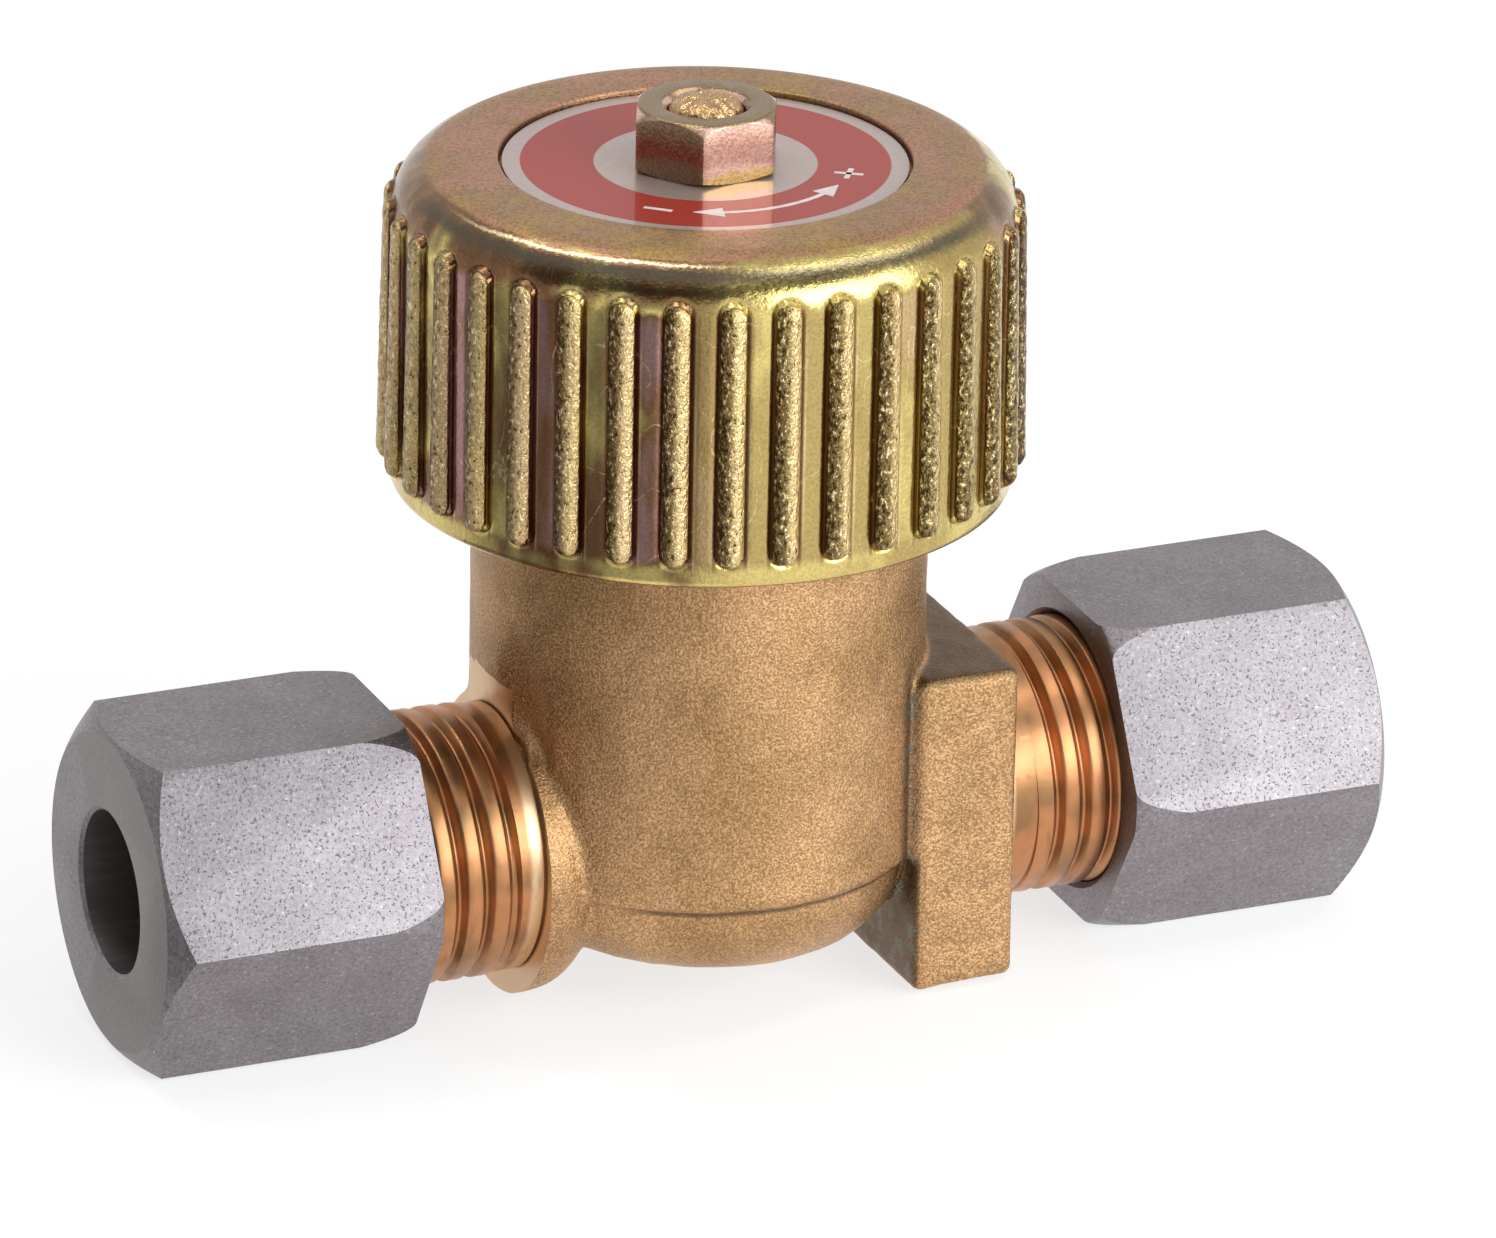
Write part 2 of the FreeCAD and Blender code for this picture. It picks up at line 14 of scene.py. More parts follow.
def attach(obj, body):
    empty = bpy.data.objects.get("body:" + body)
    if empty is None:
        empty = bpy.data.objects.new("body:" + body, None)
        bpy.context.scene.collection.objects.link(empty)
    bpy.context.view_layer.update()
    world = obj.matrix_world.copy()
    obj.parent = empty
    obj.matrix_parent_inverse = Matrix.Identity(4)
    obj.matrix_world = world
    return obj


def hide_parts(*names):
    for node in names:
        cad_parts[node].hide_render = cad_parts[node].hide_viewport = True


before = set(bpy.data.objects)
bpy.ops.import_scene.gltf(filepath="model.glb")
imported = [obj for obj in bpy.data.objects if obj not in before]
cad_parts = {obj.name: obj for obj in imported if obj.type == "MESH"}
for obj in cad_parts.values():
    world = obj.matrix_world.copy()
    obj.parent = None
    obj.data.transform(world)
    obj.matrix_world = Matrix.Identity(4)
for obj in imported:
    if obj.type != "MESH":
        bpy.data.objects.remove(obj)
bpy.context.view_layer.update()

log = logging.getLogger("valve")

# One millimetre in metres, the reach in millimetres within which a turned and a cut solid's doubled
# vertices are merged, and half of a hexagon's flats over its corner radius
MM = 0.001
MERGE = 0.0005
MERGE_CUT = 0.002
HEXAGON_CORNER = math.cos(math.radians(30.0))
Point = tuple[float, float]
Span = tuple[float, float]
Way = tuple[float, float, float]
Colour = tuple[float, float, float]
Stops = Sequence[tuple[float, Colour]]
Socket = bpy.types.NodeSocket
Material = bpy.types.Material
Piece = bpy.types.Object


class Side(Enum):
    """The two ends of the tube axis."""

    LEFT = -1
    RIGHT = 1

    def pick(self, pair: Span) -> float:
        """The left or the right one of two values."""
        return pair[0] if self is Side.LEFT else pair[1]


class Cut(Enum):
    """How one solid changes another."""

    UNION = "UNION"
    DIFFERENCE = "DIFFERENCE"
    INTERSECT = "INTERSECT"


# Workbench

def clear_selection() -> None:
    """Leave edit mode and deselect every object."""
    if bpy.context.object is not None and bpy.context.object.mode != "OBJECT":
        bpy.ops.object.mode_set(mode="OBJECT")
    bpy.ops.object.select_all(action="DESELECT")


def activate(*pieces: Piece) -> None:
    """Select pieces alone and make the first one the active one.

    Args:
        *pieces: the pieces.
    """
    clear_selection()
    for piece in pieces:
        piece.select_set(True)
    bpy.context.view_layer.objects.active = pieces[0]


@contextmanager
def editing(piece: Piece) -> Iterator[None]:
    """Hold a piece in edit mode, all of it selected at the start.

    Args:
        piece: the mesh object.

    Yields:
        Nothing; the piece is in edit mode meanwhile.
    """
    activate(piece)
    bpy.ops.object.mode_set(mode="EDIT")
    bpy.ops.mesh.select_mode(type="VERT")
    bpy.ops.mesh.select_all(action="SELECT")
    yield
    bpy.ops.object.mode_set(mode="OBJECT")


def move_vertices(piece: Piece, place: Callable[[Vector], Vector]) -> None:
    """Give every vertex of a mesh a new place.

    Args:
        piece: the mesh object.
        place: gives the new place of a vertex from its old one.
    """
    for vertex in piece.data.vertices:
        vertex.co = place(vertex.co.copy())
    piece.data.update()


def weld(piece: Piece, distance: float = MERGE) -> None:
    """Merge doubled vertices and turn all faces outward.

    Args:
        piece: the mesh object.
        distance: how far apart doubled vertices may stand, in millimetres.
    """
    with editing(piece):
        bpy.ops.mesh.remove_doubles(threshold=distance)
        bpy.ops.mesh.normals_make_consistent(inside=False)


def apply_modifier(piece: Piece, kind: str, **settings: object) -> None:
    """Add one modifier, set it and apply it.

    Args:
        piece: the mesh object.
        kind: the modifier's type name.
        **settings: the modifier's properties.
    """
    activate(piece)
    modifier = piece.modifiers.new(kind.lower(), kind)
    for name, value in settings.items():
        setattr(modifier, name, value)
    bpy.ops.object.modifier_apply(modifier=modifier.name)


def combine(piece: Piece, tool: Piece, how: Cut) -> None:
    """Change a solid by another one, which is used up.

    Args:
        piece: the solid.
        tool: the other one.
        how: whether it is added, cut away or left as what both share.
    """
    apply_modifier(piece, "BOOLEAN", operation=how.value, object=tool, solver="EXACT")
    bpy.data.objects.remove(tool)


def round_edges(piece: Piece, width: float, sharper_than: float, **settings: object) -> None:
    """Round a solid's sharp edges.

    Args:
        piece: the solid.
        width: how far the rounding reaches, in millimetres.
        sharper_than: the least angle of a sharp edge, in degrees.
        **settings: the modifier's other properties.
    """
    settings = {"limit_method": "ANGLE", "angle_limit": math.radians(sharper_than), **settings}
    apply_modifier(piece, "BEVEL", width=width, segments=3, **settings)


def join(pieces: Sequence[Piece]) -> Piece:
    """Join several meshes into the first one.

    Args:
        pieces: the mesh objects.

    Returns:
        The first one, which now holds all.
    """
    activate(*pieces)
    bpy.ops.object.join()
    return pieces[0]


def copy_of(piece: Piece, name: str) -> Piece:
    """Copy a piece with a mesh of its own.

    Args:
        piece: the mesh object.
        name: the copy's name.

    Returns:
        The copy.
    """
    twin = piece.copy()
    twin.data = piece.data.copy()
    twin.name = name
    bpy.context.scene.collection.objects.link(twin)
    return twin


def draw_outline(name: str, points: Sequence[Vector]) -> Piece:
    """Draw a chain of edges by extruding one vertex from point to point.

    Args:
        name: the object's name.
        points: the places of the outline's points, in order.

    Returns:
        The object that holds the chain.
    """
    clear_selection()
    bpy.ops.mesh.primitive_plane_add(size=1.0, location=points[0])
    piece = bpy.context.object
    piece.name = name
    bpy.ops.object.transform_apply(location=True, rotation=False, scale=False)
    with editing(piece):
        bpy.ops.mesh.merge(type="CENTER")
        for before, after in zip(points, points[1:]):
            bpy.ops.mesh.extrude_region_move(TRANSFORM_OT_translate={"value": after - before})
    return piece


def scaled_out(spot: Vector, share: float) -> Vector:
    """A place moved out from the spindle axis, or in to it, by a factor."""
    return Vector((spot.x * share, spot.y * share, spot.z))


def arc(centre: Point, radius: float, start: float, end: float, steps: int) -> list[Point]:
    """Points of a circular arc, both ends included.

    Args:
        centre: the arc's centre.
        radius: its radius.
        start: the angle of its first point, in degrees.
        end: the angle of its last point.
        steps: how many chords it has.

    Returns:
        The points, in order.
    """
    turns = [math.radians(start + (end - start) * step / steps) for step in range(steps + 1)]
    return [(centre[0] + radius * math.cos(turn), centre[1] + radius * math.sin(turn)) for turn in turns]


def spin(name: str, outline: Sequence[Point], steps: int, pipe: float | None = None) -> Piece:
    """Turn a closed outline round the spindle axis, or round the pipe axis.

    Args:
        name: the object's name.
        outline: points of radius and height, or of x and radius for the pipe axis, in millimetres.
        steps: how many facets make the full turn.
        pipe: the pipe axis's height, or none for the spindle axis.

    Returns:
        The turned solid.
    """
    base = pipe or 0.0
    axis = (0, 0, 1) if pipe is None else (1, 0, 0)
    chain = [Vector((first, 0.0, base + second)) for first, second in outline]
    piece = draw_outline(name, [*chain, chain[0]])
    with editing(piece):
        bpy.ops.mesh.spin(steps=steps, angle=math.tau, center=(0, 0, base), axis=axis)
    weld(piece)
    return piece


def cylinder(name: str, radius: float, low: Vector, high: Vector, sides: int) -> Piece:
    """A closed cylinder between two points.

    Args:
        name: the object's name.
        radius: its radius in millimetres.
        low: the middle of its first end.
        high: the middle of its second end.
        sides: how many facets go round it.

    Returns:
        The cylinder.
    """
    clear_selection()
    way = high - low
    bpy.ops.mesh.primitive_cylinder_add(
        vertices=sides,
        radius=radius,
        depth=way.length,
        location=0.5 * (low + high),
        rotation=way.to_track_quat("Z", "Y").to_euler(),
    )
    piece = bpy.context.object
    piece.name = name
    bpy.ops.object.transform_apply(location=True, rotation=True, scale=False)
    return piece


def hexagon(flats: float, length: float, middle: Vector, tilt: float = 0.0) -> Piece:
    """A hexagonal bar.

    Args:
        flats: its width across flats in millimetres.
        length: its length.
        middle: the middle of the bar.
        tilt: how far its axis is turned from upright toward the pipe, in degrees.

    Returns:
        The bar.
    """
    clear_selection()
    bpy.ops.mesh.primitive_cylinder_add(
        vertices=6,
        radius=0.5 * flats / HEXAGON_CORNER,
        depth=length,
        location=middle,
        rotation=(0.0, math.radians(tilt), 0.0),
    )
    piece = bpy.context.object
    bpy.ops.object.transform_apply(location=True, rotation=True, scale=False)
    return piece


def paint(piece: Piece, *finishes: Material) -> None:
    """Give a piece its finishes in place of those that it has.

    Args:
        piece: the mesh object.
        *finishes: its materials in slot order.
    """
    piece.data.materials.clear()
    for finish in finishes:
        piece.data.materials.append(finish)


def hand_over(piece: Piece, name: str, crease: float) -> None:
    """Name a finished mesh and bring it from millimetres to metres.

    Args:
        piece: the mesh object, modelled in millimetres.
        name: the piece's name.
        crease: edges sharper than this angle in degrees stay sharp.
    """
    activate(piece)
    piece.name = piece.data.name = name
    piece.scale = (MM, MM, MM)
    bpy.ops.object.transform_apply(location=True, rotation=True, scale=True)
    bpy.ops.object.shade_smooth_by_angle(angle=math.radians(crease))


def seat(piece: Piece, body: str, slot: str, *nodes: str) -> None:
    """Fasten a finished piece to its body and let it stand for its nodes.

    Args:
        piece: the finished piece.
        body: the body that it moves with.
        slot: the record's material slot; not used.
        *nodes: the nodes that it replaces.
    """
    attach(piece, body)
    if nodes:
        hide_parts(*nodes)
    log.info("%s rides on %s: %d faces", piece.name, body, len(piece.data.polygons))


# Finishes

def tint(red: float, green: float, blue: float) -> Colour:
    """A colour as it looks on a screen, each channel up to 255, as the shader's linear one."""
    shares = (channel / 255.0 for channel in (red, green, blue))
    return tuple(share / 12.92 if share <= 0.04045 else ((share + 0.055) / 1.055) ** 2.4 for share in shares)


def dimmed(colour: Colour, share: float) -> Colour:
    """A share of a colour's light."""
    return tuple(share * channel for channel in colour)


class Board:
    """A material's node board, wired by short calls. Lengths come in millimetres."""

    def __init__(self, name: str, surround: bool = False) -> None:
        """Start an empty board.

        Args:
            name: the material's or world's name.
            surround: whether it is a world's board and not a material's.
        """
        self.owner = bpy.data.worlds.new(name) if surround else bpy.data.materials.new(name)
        self.owner.use_nodes = True
        self.tree = self.owner.node_tree
        self.tree.nodes.clear()
        self.place = self.tree.nodes.new("ShaderNodeTexCoord").outputs["Generated" if surround else "Object"]

    def node(self, kind: str, **settings: object) -> bpy.types.Node:
        """Add a node.

        Args:
            kind: the node's type name.
            **settings: its properties.

        Returns:
            The node.
        """
        made = self.tree.nodes.new(kind)
        for name, value in settings.items():
            setattr(made, name, value)
        return made

    def feed(self, socket: Socket, value: object) -> None:
        """Link a socket to another, or set its value.

        Args:
            socket: the input.
            value: a socket, number, vector, or colour of three channels.
        """
        if isinstance(value, bpy.types.NodeSocket):
            self.tree.links.new(value, socket)
        elif isinstance(value, tuple) and len(value) == 3 and socket.type == "RGBA":
            socket.default_value = (*value, 1.0)
        else:
            socket.default_value = value

    def wired(
        self, kind: str, inputs: dict[str | int, object], output: str | int = 0, **settings: object
    ) -> Socket:
        """Add a node and feed its inputs.

        Args:
            kind: the node's type name.
            inputs: a value or socket for each input, by name or number.
            output: which output is wanted.
            **settings: its properties.

        Returns:
            The output's socket.
        """
        made = self.node(kind, **settings)
        for name, value in inputs.items():
            self.feed(made.inputs[name], value)
        return made.outputs[output]

    def maths(self, operation: str, *values: object, clamp: bool = False) -> Socket:
        """One step of arithmetic.

        Args:
            operation: the Math node's operation.
            *values: sockets or numbers, in order.
            clamp: whether the result is held between 0 and 1.

        Returns:
            The result's socket.
        """
        return self.wired("ShaderNodeMath", dict(enumerate(values)), operation=operation, use_clamp=clamp)

    def times(self, first: Socket, *factors: object) -> Socket:
        """Multiply a socket by others or by numbers.

        Args:
            first: the socket.
            *factors: what it is multiplied by.

        Returns:
            The product's socket.
        """
        for factor in factors:
            first = self.maths("MULTIPLY", first, factor)
        return first

    def plus(self, first: object, second: object) -> Socket:
        """Add two sockets or numbers."""
        return self.maths("ADD", first, second)

    def minus(self, first: object, second: object, clamp: bool = False) -> Socket:
        """Take the second of two sockets or numbers from the first."""
        return self.maths("SUBTRACT", first, second, clamp=clamp)

    def sloped(self, value: Socket, slope: object, start: object) -> Socket:
        """A slope times a value, plus a start."""
        return self.maths("MULTIPLY_ADD", value, slope, start)

    def axes(self) -> tuple[Socket, Socket, Socket]:
        """The object's own place, axis by axis.

        Returns:
            The sockets of x, y and z at each point, in metres.
        """
        made = self.node("ShaderNodeSeparateXYZ")
        self.feed(made.inputs[0], self.place)
        return tuple(made.outputs)

    def toward(self, way: Way, where: Socket | None = None) -> Socket:
        """How far a place lies along a direction."""
        inputs = {0: where or self.place, 1: way}
        return self.wired("ShaderNodeVectorMath", inputs, "Value", operation="DOT_PRODUCT")

    def turn(self) -> Socket:
        """Angle round the spindle axis, in radians."""
        x, y, _ = self.axes()
        return self.maths("ARCTAN2", y, x)

    def radius(self) -> Socket:
        """Distance from the spindle axis, in metres."""
        x, y, _ = self.axes()
        return self.maths("SQRT", self.plus(self.times(x, x), self.times(y, y)))

    def between(self, value: Socket, low: float, high: float) -> Socket:
        """A soft step.

        Args:
            value: the value.
            low: where the step is 0.
            high: where it is 1, which may be below low.

        Returns:
            A socket from 0 to 1.
        """
        inputs = {"Value": value, "From Min": low, "From Max": high}
        return self.wired("ShaderNodeMapRange", inputs, "Result", interpolation_type="SMOOTHSTEP")

    def step(self, value: Socket, span: Span) -> Socket:
        """A soft step of a place in metres, from 0 to 1 between two places in millimetres."""
        return self.between(value, span[0] * MM, span[1] * MM)

    def window(self, value: Socket, span: Span, soft: float) -> Socket:
        """A soft window of a place in metres.

        Args:
            value: the place.
            span: the two places in millimetres that it lies between.
            soft: how far each edge fades to both sides, in millimetres.

        Returns:
            A socket that is 1 inside and 0 outside.
        """
        low, high = span
        rise = self.step(value, (low - soft, low + soft))
        return self.times(rise, self.step(value, (high + soft, high - soft)))

    def stretched(self, scale: Way, shift: Way = (0.0, 0.0, 0.0)) -> Socket:
        """The object's place, stretched and shifted, for a pattern with a grain."""
        return self.wired("ShaderNodeMapping", {"Vector": self.place, "Scale": scale, "Location": shift})

    def grain(
        self, size: float, detail: float = 2.0, rough: float = 0.5, where: Socket | None = None
    ) -> Socket:
        """Cloudy noise.

        Args:
            size: the width of its patches in millimetres.
            detail: how many finer layers it has.
            rough: how strong the finer layers are.
            where: the coordinates that it reads, or none for the object's own.

        Returns:
            A socket from 0 to 1, mostly near the middle.
        """
        inputs = {"Scale": 1.0 / (size * MM), "Detail": detail, "Roughness": rough}
        return self.wired("ShaderNodeTexNoise", {"Vector": where or self.place, **inputs}, "Fac")

    def ramp(self, value: Socket, stops: Stops) -> Socket:
        """Colours along a value.

        Args:
            value: the socket that picks the colour.
            stops: the positions and their colours, in order.

        Returns:
            The colour's socket.
        """
        made = self.node("ShaderNodeValToRGB")
        self.feed(made.inputs["Fac"], value)
        band = made.color_ramp
        while len(band.elements) < len(stops):
            band.elements.new(0.5)
        for element, (position, colour) in zip(band.elements, stops):
            element.position = position
            element.color = (*colour, 1.0)
        return made.outputs["Color"]

    def blend(self, share: object, first: object, second: object, how: str = "MIX") -> Socket:
        """Mix two colours.

        Args:
            share: how much of the second one shows.
            first: the colour below.
            second: the colour above.
            how: the Mix node's way of blending.

        Returns:
            The mixed colour's socket.
        """
        inputs = {"Factor": share, 6: first, 7: second}
        return self.wired("ShaderNodeMix", inputs, 2, data_type="RGBA", blend_type=how)

    def coats(self, colour: Socket, *coats: tuple[Socket, float, object]) -> Socket:
        """Lay tones over a colour, one after another.

        Args:
            colour: what lies below.
            *coats: the mask, share and tone of each.

        Returns:
            The colour's socket.
        """
        for mask, share, tone in coats:
            colour = self.blend(self.times(mask, share), colour, tone)
        return colour

    def speckled(self, colour: Socket, value: Socket, stops: Stops) -> Socket:
        """Darken and lighten a colour by a ramp."""
        return self.blend(1.0, colour, self.ramp(value, stops), "MULTIPLY")

    def relief(self, height: Socket, depth: float, strength: float, below: Socket | None = None) -> Socket:
        """Bump from a height socket.

        Args:
            height: from 0 to 1.
            depth: what a height of 1 stands for, in millimetres.
            strength: the share of the bump that shows.
            below: a normal that it is laid on.

        Returns:
            The bumped normal.
        """
        inputs = {"Strength": strength, "Distance": depth * MM, "Height": height}
        if below is not None:
            inputs["Normal"] = below
        return self.wired("ShaderNodeBump", inputs, "Normal")

    def put_out(self, shader: Socket, kind: str = "Material") -> None:
        """Send a shader to the material's or the world's output."""
        self.feed(self.node(f"ShaderNodeOutput{kind}").inputs["Surface"], shader)

    def finish(self, **inputs: object) -> Material:
        """Close the board with the surface shader.

        Args:
            **inputs: the shader's inputs, with an underscore for a space.

        Returns:
            The finished material.
        """
        named = {name.replace("_", " "): value for name, value in inputs.items()}
        self.put_out(self.wired("ShaderNodeBsdfPrincipled", named, "BSDF"))
        return self.owner


@dataclass(frozen=True)
class CastBrass:
    """Fine grained sand casting, golden brown, with grey patina in its creases, and with painted shade in the
    crease by the block, on the block's left face and top, and in the groove at the barrel's foot.

    Its spans are places in millimetres between which a painted shade lies, comes or goes.
    """

    name: str = "cast_brass"
    light: Colour = tint(178, 141, 101)
    dark: Colour = tint(157, 123, 84)
    painted_shade: Colour = tint(88, 70, 50)
    patina: Colour = tint(106, 104, 90)
    speckle: Stops = ((0.35, (0.64, 0.62, 0.6)), (0.5, (0.96, 0.96, 0.96)), (0.65, (1.5, 1.5, 1.54)))
    grain_size: float = 0.125
    crease_along: Span = (7.9, 8.7)
    crease_radius: Span = (11.3, 11.7)
    crease_rise: Span = (17.0, 13.5)
    flank_along: Span = (8.45, 9.0)
    flank_rise: Span = (5.2, 4.6)
    block_top_radius: Span = (11.8, 12.1)
    block_top_rise: Span = (14.2, 14.7)
    groove_along: Span = (-7.0, 8.6)
    groove_radius: Span = (10.9, 11.2)
    groove_rise: Span = (4.4, 4.75)

    def build(self) -> Material:
        """Wire the material.

        Returns:
            The material.
        """
        board = Board(self.name)
        x, _, z = board.axes()
        radius = board.radius()
        cloud = board.grain(5.0, detail=3.0)
        fine = board.grain(self.grain_size, rough=0.6)
        # Painted shade: darker in the crease between barrel and block, low on the block's left face, on the
        # block's top under the wheel and in the groove at the barrel's foot.
        crease = board.times(
            board.window(x, self.crease_along, 0.4),
            board.step(radius, self.crease_radius),
            board.step(z, self.crease_rise),
        )
        flank = board.times(board.window(x, self.flank_along, 0.12), board.step(z, self.flank_rise))
        block_top = board.times(board.step(z, self.block_top_rise), board.step(radius, self.block_top_radius))
        groove = board.times(
            board.window(z, self.groove_rise, 0.12),
            board.step(radius, self.groove_radius),
            board.window(x, self.groove_along, 0.8),
        )
        bloom = board.between(board.grain(1.1), 0.48, 0.6)
        colour = board.coats(
            board.ramp(cloud, ((0.36, self.dark), (0.62, self.light))),
            # painted shade in the crease, on the block's flank and top and in the groove; the patina that
            # follows is the casting's own
            (crease, 0.75, self.painted_shade),
            (flank, 0.9, self.painted_shade),
            (block_top, 0.85, self.painted_shade),
            (groove, 0.75, self.painted_shade),
            (board.times(board.maths("MAXIMUM", crease, flank), bloom), 0.8, self.patina),
        )
        sand = board.relief(board.grain(0.42), 0.04, 0.35)
        return board.finish(
            Base_Color=board.speckled(colour, fine, self.speckle),
            Metallic=1.0,
            Roughness=board.sloped(fine, 0.3, 0.31),
            Normal=board.relief(fine, 0.05, 1.0, sand),
        )


@dataclass(frozen=True)
class TurnedBrass:
    """Brass turned on a lathe along the pipe, copper coloured, with fine tool lines and a painted highlight
    on the plain lands beside the shoulders.
    """

    name: str = "turned_brass"
    light: Colour = tint(182, 126, 86)
    dark: Colour = tint(146, 108, 74)
    land_highlight: Colour = tint(222, 190, 152)
    roughness: float = 0.36
    left_land: Span = (-12.0, -11.0)
    right_land: Span = (14.2, 15.1)
    land_edge: float = 0.15

    def build(self) -> Material:
        """Wire the material.

        Returns:
            The material.
        """
        board = Board(self.name)
        x, _, _ = board.axes()
        lines = board.grain(0.12, detail=1.0, where=board.stretched((1.0, 0.02, 0.02)))
        cloud = board.grain(2.6)
        # Painted highlight: the plain lands beside the shoulders are lightened where a lamp's reflection lies
        # on them.
        lands = [board.window(x, span, self.land_edge) for span in (self.left_land, self.right_land)]
        stain = board.between(board.grain(0.9, detail=3.0, where=board.stretched((1.0, 0.3, 0.3))), 0.56, 0.7)
        colour = board.coats(
            board.ramp(cloud, ((0.38, self.dark), (0.6, self.light))),
            (board.maths("MAXIMUM", *lands), 0.75, self.land_highlight),
            (stain, 0.3, dimmed(self.dark, 0.4)),
        )
        return board.finish(
            Base_Color=colour,
            Metallic=1.0,
            Roughness=board.sloped(cloud, 0.1, self.roughness - 0.04),
            Normal=board.relief(lines, 0.004, 0.35),
        )


@dataclass(frozen=True)
class GreyZinc:
    """Grey zinc coat on steel, fine and pitted; the rubbed kind is bright on worn edges."""

    name: str = "grey_zinc"
    light: Colour = tint(142, 136, 139)
    dark: Colour = tint(124, 118, 120)
    rubbed: bool = False
    bright: Colour = tint(208, 207, 212)
    pit: Colour = tint(70, 66, 68)
    clouds: Stops = ((0.3, (0.88, 0.87, 0.88)), (0.7, (1.04, 1.04, 1.04)))
    roughness: float = 0.44

    def build(self) -> Material:
        """Wire the material.

        Returns:
            The material.
        """
        board = Board(self.name)
        fine = board.grain(0.2, rough=0.6)
        flecks = board.between(board.grain(0.2, detail=1.0), 0.69, 0.76)
        beside = board.stretched((1.0, 1.0, 1.0), (0.2, 0.0, 0.1))
        pits = board.between(board.grain(0.15, detail=1.0, where=beside), 0.36, 0.3)
        coats = [(flecks, 0.3, self.bright), (pits, 0.5, self.pit)]
        if self.rubbed:
            wear = board.between(board.grain(0.45, detail=3.0, rough=0.7), 0.44, 0.56)
            coats.append((wear, 0.8, self.bright))
        colour = board.ramp(fine, ((0.38, self.dark), (0.6, self.light)))
        colour = board.speckled(colour, board.grain(3.0, detail=3.0), self.clouds)
        dents = board.relief(board.minus(1.0, pits), 0.03, 0.8)
        return board.finish(
            Base_Color=board.coats(colour, *coats),
            Metallic=1.0,
            Roughness=board.sloped(fine, 0.16, self.roughness - 0.08),
            Normal=board.relief(fine, 0.012, 0.6, dents),
        )


@dataclass(frozen=True)
class BoreShade:
    """Painted shade: a darker grey for the inside of a nut's bore and for its cutting ring, with faint
    streaks.
    """

    name: str = "bore_shade"
    tone: Colour = tint(118, 112, 110)
    streak: Colour = tint(128, 122, 120)

    def build(self) -> Material:
        """Wire the material.

        Returns:
            The material.
        """
        board = Board(self.name)
        streaks = board.grain(0.3, where=board.stretched((0.12, 1.0, 1.0)))
        colour = board.ramp(streaks, ((0.46, self.tone), (0.7, self.streak)))
        return board.finish(Base_Color=colour, Metallic=0.8, Roughness=0.4, Specular_IOR_Level=0.2)


